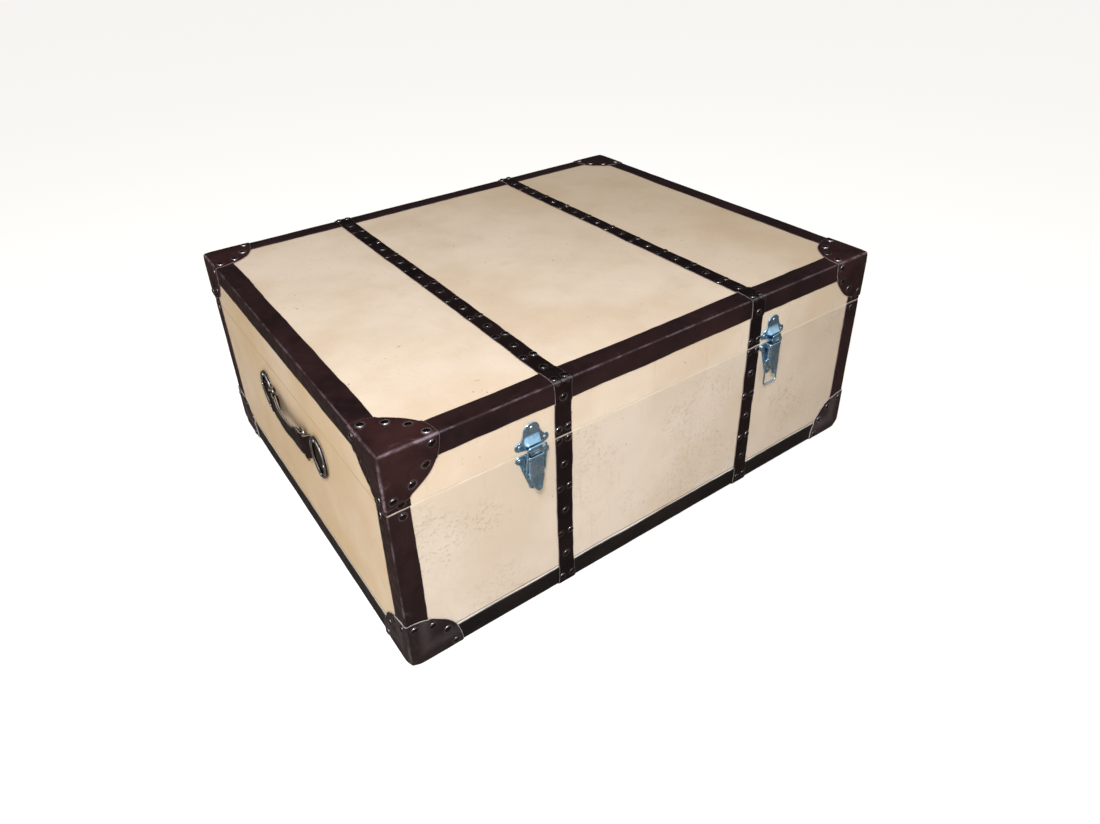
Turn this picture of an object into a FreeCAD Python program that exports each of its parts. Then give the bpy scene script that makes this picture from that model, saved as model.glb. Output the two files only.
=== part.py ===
import FreeCAD, Part
import math
import os

# Storage trunk: a canvas-covered wooden box with a hinged lid, leather edges,
# corners and straps held by domed nails, two draw bolts and two end handles.
# Millimetres. X runs along the front, Y to the back, Z up. The origin is on
# the floor under the middle of the box, and the front faces -Y.

V = FreeCAD.Vector

# Overall size over the leather corners, and the share of it that is below the lid
length = 1000.0
width = 800.0
height = 400.0
seam_share = 0.75
seam_z = height * seam_share

# Layers from the outside in
over_leather = 2.0          # corners and straps, which lie over the bindings
binding_leather = 2.0
canvas = 1.2
board = 12.0
lining = 0.8

# Leather edges, corners and straps
binding_width = 34.0
binding_round = 3.0
corner_share = 0.9          # radius of a corner, as a share of the lid's height
corner_radius = (height - seam_z) * corner_share
corner_round = 4.0
strap_width = 31.0
strap_left_x = -211.0
strap_right_x = 200.5
strap_ramp = 4.0            # length over which a strap climbs onto a binding
strap_wrap = 30.0           # how far a base strap turns under the box

# Pale rim moulding on the base: its flange shows in the seam, its tongue stands inside the lid
rim_flange = 2.0
rim_leg = 18.0
rim_thickness = 5.0
tongue_height = 10.0
tongue_clearance = 1.2
lid_clearance = 0.3

# Domed nails in the leather
nail_head_radius = 6.0
nail_head_height = 2.6
nail_shank_radius = 0.9
nail_shank = 9.5
nail_pair_half = 9.2        # half the distance between the two nails of a pair
top_nail_edge = 10.0        # first row on the top, from the edge
top_nail_rows = 21
lid_nail_shares = (0.29, 0.86)  # rows on the lid's front, down from the top, as shares of the lid's height
base_nail_drop = 7.0        # first row on the base, down from the seam
base_nail_foot = 17.0       # last row on the base, up from the floor
base_nail_rows = 7
corner_nail_inset = 11.0
corner_nail_angles = (9.0, 32.5, 56.0, 79.5)
seam_nail_inset = 25.0
seam_nail_rise = 10.5

# Steel nails in the latches, hinges and handles
screw_head_radius = 3.4
screw_head_height = 1.7
screw_shank_radius = 1.1
screw_shank = 9.0
screw_hole_clearance = 0.3

# Draw bolts: catch on the lid, plate, lever and wire bail on the base. Heights are from the seam.
latch_left_x = -267.0
latch_right_x = 246.8
plate_steel = 1.5
catch_lobe_z = 34.5
catch_lobe_radius = 14.5
catch_nail_z = 40.0
catch_ear_x = 21.9
catch_ear_z = 14.0
catch_ear_radius = 8.0
catch_foot_z = 4.5
catch_waist_rise = 9.5      # where the flank of the bell passes between lobe and ear
hook_half = 10.6
hook_out = 13.0
hook_lip_top = 14.5
hook_lip_foot = 2.0
keeper_ear_x = 23.0
keeper_ear_z = -9.0
keeper_ear_radius = 7.2
keeper_waist_half = 13.0
keeper_waist_z = -50.0
keeper_end_radius = 9.0
keeper_end_z = -62.0
lug_steel = 1.5
lug_half_height = 5.0
lug_front = 3.2             # lug beyond the pin's axis
lever_pin_z = -7.5
lever_pin_out = 10.0
lever_pin_radius = 1.5
lever_half = 12.0
lever_steel = 1.5
lever_face_out = 13.5
lever_top_z = -2.7
lever_bend_z = -36.0
lever_wall_foot = -43.0
lever_wall_back = 4.5
lever_tip_z = -64.0
lever_tip_out = 17.7
lever_tip_half = 7.0
lever_curl_share = 0.33     # share of the tip's curl that lies in its upper half
lug_gap = 0.3
pin_play = 0.06
bail_wire = 1.5             # radius of the wire
bail_half = 15.9
bail_length = 52.0
bail_bend = 5.0
bail_eye_bend = 2.5
bail_eye_inside = 2.0       # how far the wire's end stands inside the lever's wall
bail_pin_z = -35.0
bail_pin_out = 8.0
bail_raised_angle = 172.0

# Back hinges with stops
hinge_left_x = -262.0
hinge_right_x = 258.0
leaf_steel = 1.6
leaf_half = 33.0
leaf_depth = 34.0
leaf_gap = 3.0
knuckle_radius = 4.2
knuckle_half = 9.0
knuckle_outer = 27.0
knuckle_gap = 0.4
web_gap = 1.4
hinge_out = 7.0
hinge_pin_radius = 2.0
hinge_pin_overhang = 0.6
stop_x = 30.0
stop_steel = 2.0
stop_inner = 5.6
stop_outer = 14.0
stop_reach = 26.0
stop_angle = 40.0           # below the horizontal, where the two stops meet
stop_play_angle = 0.6
lid_opening_angle = 100.0
leaf_screw_x = 20.0
leaf_screw_inset = 12.0

# End handles: two oval plates, leather tabs, steel rings and a leather grip
handle_y = -16.0
handle_drop = 65.0          # from the seam to the handle's middle
plate_spacing = 121.0       # from the handle's middle to each oval plate
oval_half_y = 31.0
oval_half_z = 38.0
oval_rim = 9.0
oval_steel = 4.0
oval_edge = 1.6
pad_inset = 2.0
tab_leather = 2.5
tab_half = 23.0
ring_wire = 2.0             # radius of the wire
ring_half = 29.0
ring_bend = 4.5
ring_pitch = 17.0
ring_gap = 7.5              # between an oval plate and the bar held by the tab
ring_out = 8.5
loop_play = 0.35
grip_leather = 5.5
grip_half = 15.5
grip_end_half = 23.0
grip_flare_end = 34.0       # from the ring's bar to where the grip has narrowed
grip_bow = 6.5
grip_pull = 9.0
grip_loop_leather = 2.3
rivet_inset = 4.5

# Faces of the layers, from the middle of the box
half_x = length / 2
half_y = width / 2
binding_x = half_x - over_leather
binding_y = half_y - over_leather
binding_top = height - over_leather
binding_bottom = over_leather
canvas_x = binding_x - binding_leather
canvas_y = binding_y - binding_leather
canvas_top = binding_top - binding_leather
wood_x = canvas_x - canvas
wood_y = canvas_y - canvas
wood_top = canvas_top - canvas
wood_bottom = binding_bottom + binding_leather
inner_x = wood_x - board
inner_y = wood_y - board
ceiling_z = wood_top - board
floor_z = wood_bottom + board
base_top = seam_z - rim_flange / 2
rim_top = seam_z + rim_flange / 2
lid_bottom = rim_top + lid_clearance
corner_nail_radius = corner_radius - corner_nail_inset
handle_z = seam_z - handle_drop
ring_inner_y = plate_spacing - oval_half_y - ring_gap   # from the handle's middle to that bar
strap_edge_y = binding_y - binding_width     # inner edge of the front and back bindings
strap_edge_z = binding_top - binding_width   # lower edge of the top bindings
foot_edge_z = binding_bottom + binding_width
match = over_leather * 1e-4                  # two places closer than this are the same


def box(x, y, z):
    """A block between the low and high value given for each axis."""
    low = V(x[0], y[0], z[0])
    return Part.makeBox(x[1] - x[0], y[1] - y[0], z[1] - z[0], low)


def rod(radius, start, end):
    return Part.makeCylinder(radius, (end - start).Length, start, end - start)


def slab(axis, steps, low, high):
    """Extrude a closed outline along an axis. A step is a point, or a middle and an end for an arc."""
    lift = {
        "x": lambda point: V(low, point[0], point[1]),
        "y": lambda point: V(point[0], low, point[1]),
        "z": lambda point: V(point[0], point[1], low),
    }[axis]
    along = {"x": V(1, 0, 0), "y": V(0, 1, 0), "z": V(0, 0, 1)}[axis]
    here = steps[0]
    edges = []
    for step in list(steps[1:]) + [steps[0]]:
        if isinstance(step[0], tuple):
            middle, end = step
            edges.append(Part.Arc(lift(here), lift(middle), lift(end)).toShape())
        else:
            end = step
            if (lift(end) - lift(here)).Length > match:
                edges.append(Part.makeLine(lift(here), lift(end)))
        here = end
    return Part.Face(Part.Wire(edges)).extrude(along * (high - low))


def edges_at(shape, **places):
    """Edges that lie wholly at the given x, y or z."""
    found = []
    for edge in shape.Edges:
        ends = [vertex.Point for vertex in edge.Vertexes]
        if all(abs(getattr(end, axis) - place) < match for end in ends for axis, place in places.items()):
            found.append(edge)
    return found


def fused(shapes):
    whole = shapes[0].multiFuse(shapes[1:]) if len(shapes) > 1 else shapes[0]
    return whole.removeSplitter()


def mirrored(shape, axis, at=0.0):
    normal = {"x": V(1, 0, 0), "y": V(0, 1, 0), "z": V(0, 0, 1)}[axis]
    return shape.mirror(normal * at, normal)


def both_sides(shape, axis):
    return [shape, mirrored(shape, axis)]


def save(name, solids):
    """Write one node. Several solids go out as one group."""
    shape = solids[0] if len(solids) == 1 else Part.makeCompound(solids)
    shape.exportStep("parts/" + name + ".step")


def frame(outset, z, wall):
    """Four-sided frame between two z values. It starts outset inside the canvas and is wall thick."""
    outer = box((-canvas_x + outset, canvas_x - outset), (-canvas_y + outset, canvas_y - outset), z)
    inset = outset + wall
    inner = box((-canvas_x + inset, canvas_x - inset), (-canvas_y + inset, canvas_y - inset), z)
    return outer.cut(inner)


# Wooden box and lid

def base_boards():
    walls = (wood_bottom, base_top)
    front = box((-wood_x, wood_x), (-wood_y, -inner_y), walls)
    left = box((-wood_x, -inner_x), (-inner_y, inner_y), walls)
    bottom = box((-inner_x, inner_x), (-inner_y, inner_y), (wood_bottom, floor_z))
    return {
        "base_front_board": front,
        "base_back_board": mirrored(front, "y"),
        "base_left_board": left,
        "base_right_board": mirrored(left, "x"),
        "base_bottom_board": bottom,
    }


def lid_boards():
    rails = (lid_bottom, ceiling_z)
    front = box((-wood_x, wood_x), (-wood_y, -inner_y), rails)
    left = box((-wood_x, -inner_x), (-inner_y, inner_y), rails)
    return {
        "lid_top_board": box((-wood_x, wood_x), (-wood_y, wood_y), (ceiling_z, wood_top)),
        "lid_front_rail": front,
        "lid_back_rail": mirrored(front, "y"),
        "lid_left_rail": left,
        "lid_right_rail": mirrored(left, "x"),
    }


def covers():
    """Canvas outside and lining inside, for the base and the lid."""
    base_canvas = frame(0.0, (wood_bottom, base_top), canvas)
    lid_shell = box((-canvas_x, canvas_x), (-canvas_y, canvas_y), (lid_bottom, canvas_top))
    lid_core = box((-wood_x, wood_x), (-wood_y, wood_y), (lid_bottom, wood_top))
    base_room = box((-inner_x, inner_x), (-inner_y, inner_y), (floor_z, base_top))
    clear_x = inner_x - lining
    clear_y = inner_y - lining
    base_clear = box((-clear_x, clear_x), (-clear_y, clear_y), (floor_z + lining, base_top))
    lid_room = box((-inner_x, inner_x), (-inner_y, inner_y), (lid_bottom, ceiling_z))
    lid_clear = box((-clear_x, clear_x), (-clear_y, clear_y), (lid_bottom, ceiling_z - lining))
    return {
        "base_canvas": base_canvas,
        "lid_canvas": lid_shell.cut(lid_core),
        "base_lining": base_room.cut(base_clear),
        "lid_lining": lid_room.cut(lid_clear),
    }


def rim_strips():
    """The rim moulding: flange on the walls, leg inside them, tongue up into the lid."""
    leg_in = canvas + board + lining
    inner = leg_in + rim_thickness
    tongue_in = leg_in + tongue_clearance
    flange = frame(0.0, (base_top, rim_top), inner)
    leg = frame(leg_in, (base_top - rim_leg, base_top), rim_thickness)
    tongue = frame(tongue_in, (rim_top, rim_top + tongue_height), inner - tongue_in)
    rim = fused([flange, leg, tongue])
    span = (base_top - rim_leg, rim_top + tongue_height)
    front_cut = box((-canvas_x, canvas_x), (-canvas_y, -canvas_y + inner), span)
    side_cut = box((-canvas_x, -canvas_x + inner), (-canvas_y + inner, canvas_y - inner), span)
    front = rim.common(front_cut)
    left = rim.common(side_cut)
    return both_sides(front, "y") + both_sides(left, "x")


# Leather bindings, corners and straps

def angle_section(corner_a, corner_b, into_a, into_b):
    """L-shaped leather section, rounded outside, whose legs run from the corner the given ways."""
    shave = binding_round * (1 - math.cos(math.radians(45)))
    return [
        (corner_a, corner_b + into_b * binding_width),
        (corner_a, corner_b + into_b * binding_round),
        ((corner_a + into_a * shave, corner_b + into_b * shave), (corner_a + into_a * binding_round, corner_b)),
        (corner_a + into_a * binding_width, corner_b),
        (corner_a + into_a * binding_width, corner_b + into_b * binding_leather),
        (corner_a + into_a * binding_leather, corner_b + into_b * binding_leather),
        (corner_a + into_a * binding_leather, corner_b + into_b * binding_width),
    ]


def long_bindings(edge_z, into_z, canvas_z):
    """Four angle strips round the top or the bottom edge. The side strips fit between the others."""
    front = slab("x", angle_section(-binding_y, edge_z, 1, into_z), -binding_x, binding_x)
    side = slab("y", angle_section(-binding_x, edge_z, 1, into_z), -strap_edge_y, strap_edge_y)
    skirt_z = sorted((canvas_z, edge_z + into_z * binding_width))
    skirt = box((-binding_x, -canvas_x), (-canvas_y, canvas_y), skirt_z)
    left = fused([side, skirt])
    return both_sides(front, "y") + both_sides(left, "x")


def edge_bindings(low, high):
    """The four upright angle strips between two heights."""
    strips = []
    for side_x in (-1, 1):
        for side_y in (-1, 1):
            section = angle_section(side_x * binding_x, side_y * binding_y, -side_x, -side_y)
            strips.append(slab("z", section, low, high))
    return strips


def corner():
    """Leather corner at the front left top: a quarter disc on each of three faces."""
    diagonal = corner_radius * math.cos(math.radians(45))

    def quarter(edge_a, edge_b, into_a, into_b):
        return [
            (edge_a, edge_b),
            (edge_a + into_a * corner_radius, edge_b),
            ((edge_a + into_a * diagonal, edge_b + into_b * diagonal), (edge_a, edge_b + into_b * corner_radius)),
        ]

    top = slab("z", quarter(-half_x, -half_y, 1, 1), binding_top, height)
    front = slab("y", quarter(-half_x, height, 1, -1), -half_y, -binding_y)
    side = slab("x", quarter(-half_y, height, 1, -1), -half_x, -binding_x)
    reach = 2 * corner_radius
    block = box((-half_x, -half_x + reach), (-half_y, -half_y + reach), (height - reach, height))
    folds = edges_at(block, x=-half_x, y=-half_y)
    folds += edges_at(block, x=-half_x, z=height)
    folds += edges_at(block, y=-half_y, z=height)
    return fused([top, front, side]).common(block.makeFillet(corner_round, folds))


def corners():
    """Front and back, left and right, for the lid, and the same upside down for the base."""
    pieces = {}
    front_left = corner()
    for part_name, shape in (("lid", front_left), ("base", mirrored(front_left, "z", height / 2))):
        back_left = mirrored(shape, "y")
        pieces[part_name + "_corner_front_left"] = shape
        pieces[part_name + "_corner_front_right"] = mirrored(shape, "x")
        pieces[part_name + "_corner_back_left"] = back_left
        pieces[part_name + "_corner_back_right"] = mirrored(back_left, "x")
    return pieces


def lid_strap(middle_x):
    """One leather strap up the lid's front, over the top and down its back."""
    face = canvas_y + over_leather
    shave = corner_round * (1 - math.cos(math.radians(45)))
    outer = [
        (-face, lid_bottom),
        (-face, strap_edge_z - strap_ramp),
        (-half_y, strap_edge_z),
        (-half_y, height - corner_round),
        ((-half_y + shave, height - shave), (-half_y + corner_round, height)),
        (-strap_edge_y, height),
        (-strap_edge_y + strap_ramp, canvas_top + over_leather),
        (strap_edge_y - strap_ramp, canvas_top + over_leather),
        (strap_edge_y, height),
        (half_y - corner_round, height),
        ((half_y - shave, height - shave), (half_y, height - corner_round)),
        (half_y, strap_edge_z),
        (face, strap_edge_z - strap_ramp),
        (face, lid_bottom),
    ]
    inner_half = [
        (canvas_y, lid_bottom),
        (canvas_y, strap_edge_z - strap_ramp),
        (binding_y, strap_edge_z),
        (binding_y, binding_top),
        (strap_edge_y, binding_top),
        (strap_edge_y - strap_ramp, canvas_top),
    ]
    inner = inner_half + [(-y, z) for y, z in reversed(inner_half)]
    return slab("x", outer + inner, middle_x - strap_width / 2, middle_x + strap_width / 2)


def base_strap(middle_x):
    """One leather strap down the front of the base and turned under it."""
    face = canvas_y + over_leather
    shave = corner_round * (1 - math.cos(math.radians(45)))
    wrap_y = -half_y + strap_wrap
    steps = [
        (-face, base_top),
        (-face, foot_edge_z + strap_ramp),
        (-half_y, foot_edge_z),
        (-half_y, corner_round),
        ((-half_y + shave, shave), (-half_y + corner_round, 0.0)),
        (wrap_y, 0.0),
        (wrap_y, binding_bottom),
        (-binding_y, binding_bottom),
        (-binding_y, foot_edge_z),
        (-canvas_y, foot_edge_z + strap_ramp),
        (-canvas_y, base_top),
    ]
    return slab("x", steps, middle_x - strap_width / 2, middle_x + strap_width / 2)


# Nails

def nail(head_radius, head_height, shank_radius, shank):
    """A domed nail whose head sits on z = 0."""
    dome = (head_radius ** 2 + head_height ** 2) / (2 * head_height)
    half_angle = math.asin(head_radius / dome) / 2
    middle = V(dome * math.sin(half_angle), 0, head_height - dome + dome * math.cos(half_angle))
    crown = Part.Arc(V(0, 0, head_height), middle, V(head_radius, 0, 0)).toShape()
    rest = Part.makePolygon([
        V(head_radius, 0, 0),
        V(shank_radius, 0, 0),
        V(shank_radius, 0, -shank + shank_radius),
        V(0, 0, -shank),
        V(0, 0, head_height),
    ])
    return Part.Face(Part.Wire([crown] + rest.Edges)).revolve(V(0, 0, 0), V(0, 0, 1), 360)


LEATHER_NAIL = nail(nail_head_radius, nail_head_height, nail_shank_radius, nail_shank)
SCREW = nail(screw_head_radius, screw_head_height, screw_shank_radius, screw_shank)


def driven(kind, seat, outward):
    """A copy of a nail with its head on seat and its dome facing outward."""
    piece = kind.copy()
    piece.Placement = FreeCAD.Placement(seat, FreeCAD.Rotation(V(0, 0, 1), outward))
    return piece


def row(middle_x, paired):
    offsets = (-nail_pair_half, nail_pair_half) if paired else (0.0,)
    return [middle_x + offset for offset in offsets]


def front_and_back(x, z, out):
    """Two nails at the same x and z, in the front and in the back."""
    return [
        driven(LEATHER_NAIL, V(x, -out, z), V(0, -1, 0)),
        driven(LEATHER_NAIL, V(x, out, z), V(0, 1, 0)),
    ]


def corner_nails(edge_z, into_z):
    """Nails along the arcs of four corners, and none underneath the box."""
    nails = []
    for angle in corner_nail_angles:
        near = corner_nail_radius * math.cos(math.radians(angle))
        far = corner_nail_radius * math.sin(math.radians(angle))
        for side_x in (-1, 1):
            x = side_x * (half_x - near)
            nails += front_and_back(x, edge_z + into_z * far, half_y)
            for side_y in (-1, 1):
                seat = V(side_x * half_x, side_y * (half_y - near), edge_z + into_z * far)
                nails.append(driven(LEATHER_NAIL, seat, V(side_x, 0, 0)))
                if into_z < 0:
                    seat = V(x, side_y * (half_y - far), edge_z)
                    nails.append(driven(LEATHER_NAIL, seat, V(0, 0, 1)))
    return nails


def seam_nails(z):
    """One nail beside each upright edge, on the front, the back and the ends."""
    nails = []
    for side_x in (-1, 1):
        nails += front_and_back(side_x * (half_x - seam_nail_inset), z, binding_y)
        for side_y in (-1, 1):
            seat = V(side_x * binding_x, side_y * (half_y - seam_nail_inset), z)
            nails.append(driven(LEATHER_NAIL, seat, V(side_x, 0, 0)))
    return nails


def lid_nails():
    nails = corner_nails(height, -1) + seam_nails(seam_z + seam_nail_rise)
    pitch = (width - 2 * top_nail_edge) / (top_nail_rows - 1)
    for middle_x in (strap_left_x, strap_right_x):
        for count in range(top_nail_rows):
            y = -half_y + top_nail_edge + count * pitch
            z = height if abs(y) > strap_edge_y else canvas_top + over_leather
            nails += [driven(LEATHER_NAIL, V(x, y, z), V(0, 0, 1)) for x in row(middle_x, count % 2 == 0)]
        for count, share in enumerate(lid_nail_shares):
            drop = share * (height - seam_z)
            out = half_y if height - drop > strap_edge_z else canvas_y + over_leather
            for x in row(middle_x, count % 2 == 1):
                nails += front_and_back(x, height - drop, out)
    return nails


def base_nails():
    nails = corner_nails(0.0, 1) + seam_nails(seam_z - seam_nail_rise)
    first = seam_z - base_nail_drop
    pitch = (first - base_nail_foot) / (base_nail_rows - 1)
    for middle_x in (strap_left_x, strap_right_x):
        for count in range(base_nail_rows):
            z = first - count * pitch
            out = half_y if z < foot_edge_z else canvas_y + over_leather
            for x in row(middle_x, count % 2 == 0):
                nails += front_and_back(x, z, out)
    return nails


# Draw bolts, built at x = 0 with y = 0 on the canvas, z = 0 on the seam and -Y outwards

def screw_holes(places, depth):
    radius = screw_shank_radius + screw_hole_clearance
    return [rod(radius, V(x, 0, z), V(x, -depth, z)) for x, z in places]


def catch_screws():
    return [(0.0, catch_nail_z), (-catch_ear_x, catch_ear_z), (catch_ear_x, catch_ear_z)]


def keeper_screws():
    return [(0.0, keeper_end_z), (-keeper_ear_x, keeper_ear_z), (keeper_ear_x, keeper_ear_z)]


def catch():
    """Bell-shaped plate on the lid with an upturned hook for the bail."""
    flank_x = (catch_lobe_radius + catch_ear_x) / 2
    ear_tip = catch_ear_x + catch_ear_radius
    shoulder = (catch_ear_x, catch_ear_z + catch_ear_radius)
    steps = [
        (-catch_lobe_radius, catch_lobe_z),
        ((0.0, catch_lobe_z + catch_lobe_radius), (catch_lobe_radius, catch_lobe_z)),
        ((flank_x, catch_lobe_z - catch_waist_rise), shoulder),
        ((ear_tip, catch_ear_z), (catch_ear_x, catch_ear_z - catch_ear_radius)),
        (hook_half, catch_foot_z),
        (-hook_half, catch_foot_z),
        (-catch_ear_x, catch_ear_z - catch_ear_radius),
        ((-ear_tip, catch_ear_z), (-shoulder[0], shoulder[1])),
        ((-flank_x, catch_lobe_z - catch_waist_rise), (-catch_lobe_radius, catch_lobe_z)),
    ]
    bell = slab("y", steps, -plate_steel, 0.0)
    arm = box((-hook_half, hook_half), (-hook_out, -plate_steel), (catch_foot_z, catch_foot_z + plate_steel))
    lip = box((-hook_half, hook_half), (-hook_out, -hook_out + plate_steel), (hook_lip_foot, hook_lip_top))
    return fused([bell, arm, lip]).cut(Part.makeCompound(screw_holes(catch_screws(), plate_steel)))


def keeper():
    """Tapering plate on the base with two lugs for the lever's pin."""
    ear_tip = keeper_ear_x + keeper_ear_radius
    ear_top = keeper_ear_z + keeper_ear_radius
    steps = [
        (-keeper_ear_x, ear_top),
        (keeper_ear_x, ear_top),
        ((ear_tip, keeper_ear_z), (keeper_ear_x, keeper_ear_z - keeper_ear_radius)),
        (keeper_waist_half, keeper_waist_z),
        (keeper_end_radius, keeper_end_z),
        ((0.0, keeper_end_z - keeper_end_radius), (-keeper_end_radius, keeper_end_z)),
        (-keeper_waist_half, keeper_waist_z),
        (-keeper_ear_x, keeper_ear_z - keeper_ear_radius),
        ((-ear_tip, keeper_ear_z), (-keeper_ear_x, ear_top)),
    ]
    plate = slab("y", steps, -plate_steel, 0.0)
    lug_in = lever_half + lug_gap
    lug_z = (lever_pin_z - lug_half_height, lever_pin_z + lug_half_height)
    lug = box((lug_in, lug_in + lug_steel), (-lever_pin_out - lug_front, -plate_steel), lug_z)
    bore = rod(lever_pin_radius, V(-keeper_ear_x, -lever_pin_out, lever_pin_z),
               V(keeper_ear_x, -lever_pin_out, lever_pin_z))
    holes = screw_holes(keeper_screws(), plate_steel)
    return fused([plate] + both_sides(lug, "x")).cut(Part.makeCompound(holes + [bore]))


def lever_pin():
    reach = lever_half + lug_gap + lug_steel + pin_play
    return rod(lever_pin_radius, V(-reach, -lever_pin_out, lever_pin_z), V(reach, -lever_pin_out, lever_pin_z))


def lever():
    """Channel-shaped lever, narrowing to a fingertip that curls away from the box."""
    inner = lever_face_out - lever_steel
    curl_z = (lever_bend_z + lever_tip_z) / 2
    curl_out = (lever_tip_out - lever_face_out) * lever_curl_share
    profile = [
        (-lever_face_out, lever_top_z),
        (-lever_face_out, lever_bend_z),
        ((-lever_face_out - curl_out, curl_z), (-lever_tip_out, lever_tip_z)),
        (-lever_tip_out + lever_steel, lever_tip_z),
        ((-inner - curl_out, curl_z), (-inner, lever_bend_z)),
        (-inner, lever_top_z),
    ]
    tip_round = lever_tip_half
    front_view = [
        (-lever_half, lever_top_z),
        (-lever_half, lever_wall_foot),
        (-lever_tip_half, lever_tip_z + tip_round),
        ((0.0, lever_tip_z), (lever_tip_half, lever_tip_z + tip_round)),
        (lever_half, lever_wall_foot),
        (lever_half, lever_top_z),
    ]
    sheet = slab("x", profile, -lever_half, lever_half)
    sheet = sheet.common(slab("y", front_view, -lever_tip_out, 0.0))
    wall_side = [
        (-inner, lever_top_z),
        (-lever_wall_back, lever_top_z),
        (-lever_wall_back, lever_bend_z - lever_steel),
        (-inner, lever_wall_foot),
    ]
    wall = slab("x", wall_side, lever_half - lever_steel, lever_half)
    pin_hole = rod(lever_pin_radius + pin_play, V(-lever_half, -lever_pin_out, lever_pin_z),
                   V(lever_half, -lever_pin_out, lever_pin_z))
    bail_hole = rod(bail_wire + pin_play, V(-lever_half, -bail_pin_out, bail_pin_z),
                    V(lever_half, -bail_pin_out, bail_pin_z))
    return fused([sheet] + both_sides(wall, "x")).cut(Part.makeCompound([pin_hole, bail_hole]))


def bent_wire(points, bends, radius):
    """A round wire through the points, with an arc of the given bend at each inner point."""
    edges = []
    start = points[0]
    for before, point, after, bend in zip(points, points[1:], points[2:], bends):
        back = (before - point).normalize()
        ahead = (after - point).normalize()
        half = back.getAngle(ahead) / 2
        reach = bend / math.tan(half)
        centre = point + (back + ahead).normalize() * (bend / math.sin(half))
        arc_start = point + back * reach
        arc_end = point + ahead * reach
        arc_middle = centre + (point - centre).normalize() * bend
        edges.append(Part.makeLine(start, arc_start))
        edges.append(Part.Arc(arc_start, arc_middle, arc_end).toShape())
        start = arc_end
    edges.append(Part.makeLine(start, points[-1]))
    section = Part.Wire([Part.makeCircle(radius, points[0], points[1] - points[0])])
    return Part.Wire(edges).makePipeShell([section], True, False)


def bail(raised):
    """Wire loop hinged in the lever's walls, hanging down or raised to the catch."""
    end_x = lever_half - lever_steel - bail_eye_inside
    foot_z = bail_pin_z - bail_length
    left = [V(-end_x, -bail_pin_out, bail_pin_z), V(-bail_half, -bail_pin_out, bail_pin_z)]
    left.append(V(-bail_half, -bail_pin_out, foot_z))
    right = [V(-point.x, point.y, point.z) for point in reversed(left)]
    bends = (bail_eye_bend, bail_bend, bail_bend, bail_eye_bend)
    loop = bent_wire(left + right, bends, bail_wire)
    if raised:
        loop.rotate(V(0, -bail_pin_out, bail_pin_z), V(1, 0, 0), -bail_raised_angle)
    return loop


def latch(middle_x, raised):
    shapes = {"catch": catch(), "latch_plate": keeper(), "lever_pin": lever_pin(),
              "latch_lever": lever(), "latch_bail": bail(raised)}
    for shape in shapes.values():
        shape.translate(V(middle_x, -canvas_y, seam_z))
    return shapes


# Hinges, built at x = 0 with the axis on y = z = 0, +Y away from the box

def hinge_leaf(knuckles, stop_ray):
    """The lower leaf: plate, knuckles at the given x spans, and two stop ears."""
    face = -hinge_out + leaf_steel
    plate = box((-leaf_half, leaf_half), (-hinge_out, face), (-leaf_gap - leaf_depth, -leaf_gap))
    pieces = [plate]
    for span in knuckles:
        pieces.append(rod(knuckle_radius, V(span[0], 0, 0), V(span[1], 0, 0)))
        pieces.append(box(span, (-hinge_out, 0.0), (-knuckle_radius, -web_gap)))
    ray_y = math.cos(math.radians(stop_ray))
    ray_z = math.sin(math.radians(stop_ray))
    ear = slab("x", [
        (face, -stop_inner),
        (stop_inner * ray_y, -stop_inner * ray_z),
        (stop_outer * ray_y, -stop_outer * ray_z),
        (face, -stop_reach),
    ], stop_x - stop_steel / 2, stop_x + stop_steel / 2)
    pieces += both_sides(ear, "x")
    leaf = fused(pieces)
    bore = rod(hinge_pin_radius + pin_play, V(-leaf_half, 0, 0), V(leaf_half, 0, 0))
    hole = screw_shank_radius + screw_hole_clearance
    holes = [rod(hole, V(x, -hinge_out, z), V(x, face, z)) for x, z in leaf_screws()]
    return leaf.cut(Part.makeCompound([bore] + holes))


def leaf_screws():
    low = -leaf_gap - leaf_depth + leaf_screw_inset
    high = -leaf_gap - leaf_screw_inset
    return [(-leaf_screw_x, high), (leaf_screw_x, high), (0.0, low)]


def hinge(middle_x):
    outer = [(-knuckle_outer, -knuckle_half - knuckle_gap), (knuckle_half + knuckle_gap, knuckle_outer)]
    upper_ray = lid_opening_angle - stop_angle + stop_play_angle
    reach = knuckle_outer + hinge_pin_overhang
    shapes = {
        "hinge_lower_leaf": hinge_leaf(outer, stop_angle),
        "hinge_upper_leaf": mirrored(hinge_leaf([(-knuckle_half, knuckle_half)], upper_ray), "z"),
        "hinge_pin": rod(hinge_pin_radius, V(-reach, 0, 0), V(reach, 0, 0)),
    }
    for shape in shapes.values():
        shape.translate(V(middle_x, canvas_y + hinge_out, rim_top))
    return shapes


def latch_and_hinge_screws():
    """Steel nails of the base, then those of the lid."""
    base, lid = [], []
    for middle_x in (latch_left_x, latch_right_x):
        for group, places in ((lid, catch_screws()), (base, keeper_screws())):
            for x, z in places:
                seat = V(middle_x + x, -canvas_y - plate_steel, seam_z + z)
                group.append(driven(SCREW, seat, V(0, -1, 0)))
    for middle_x in (hinge_left_x, hinge_right_x):
        for group, way in ((base, 1), (lid, -1)):
            for x, z in leaf_screws():
                seat = V(middle_x + x, canvas_y + leaf_steel, rim_top + way * z)
                group.append(driven(SCREW, seat, V(0, 1, 0)))
    return base, lid


# Left end handle, with -X away from the box. The right one is its mirror image.

def out(distance):
    return -canvas_x - distance


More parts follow.
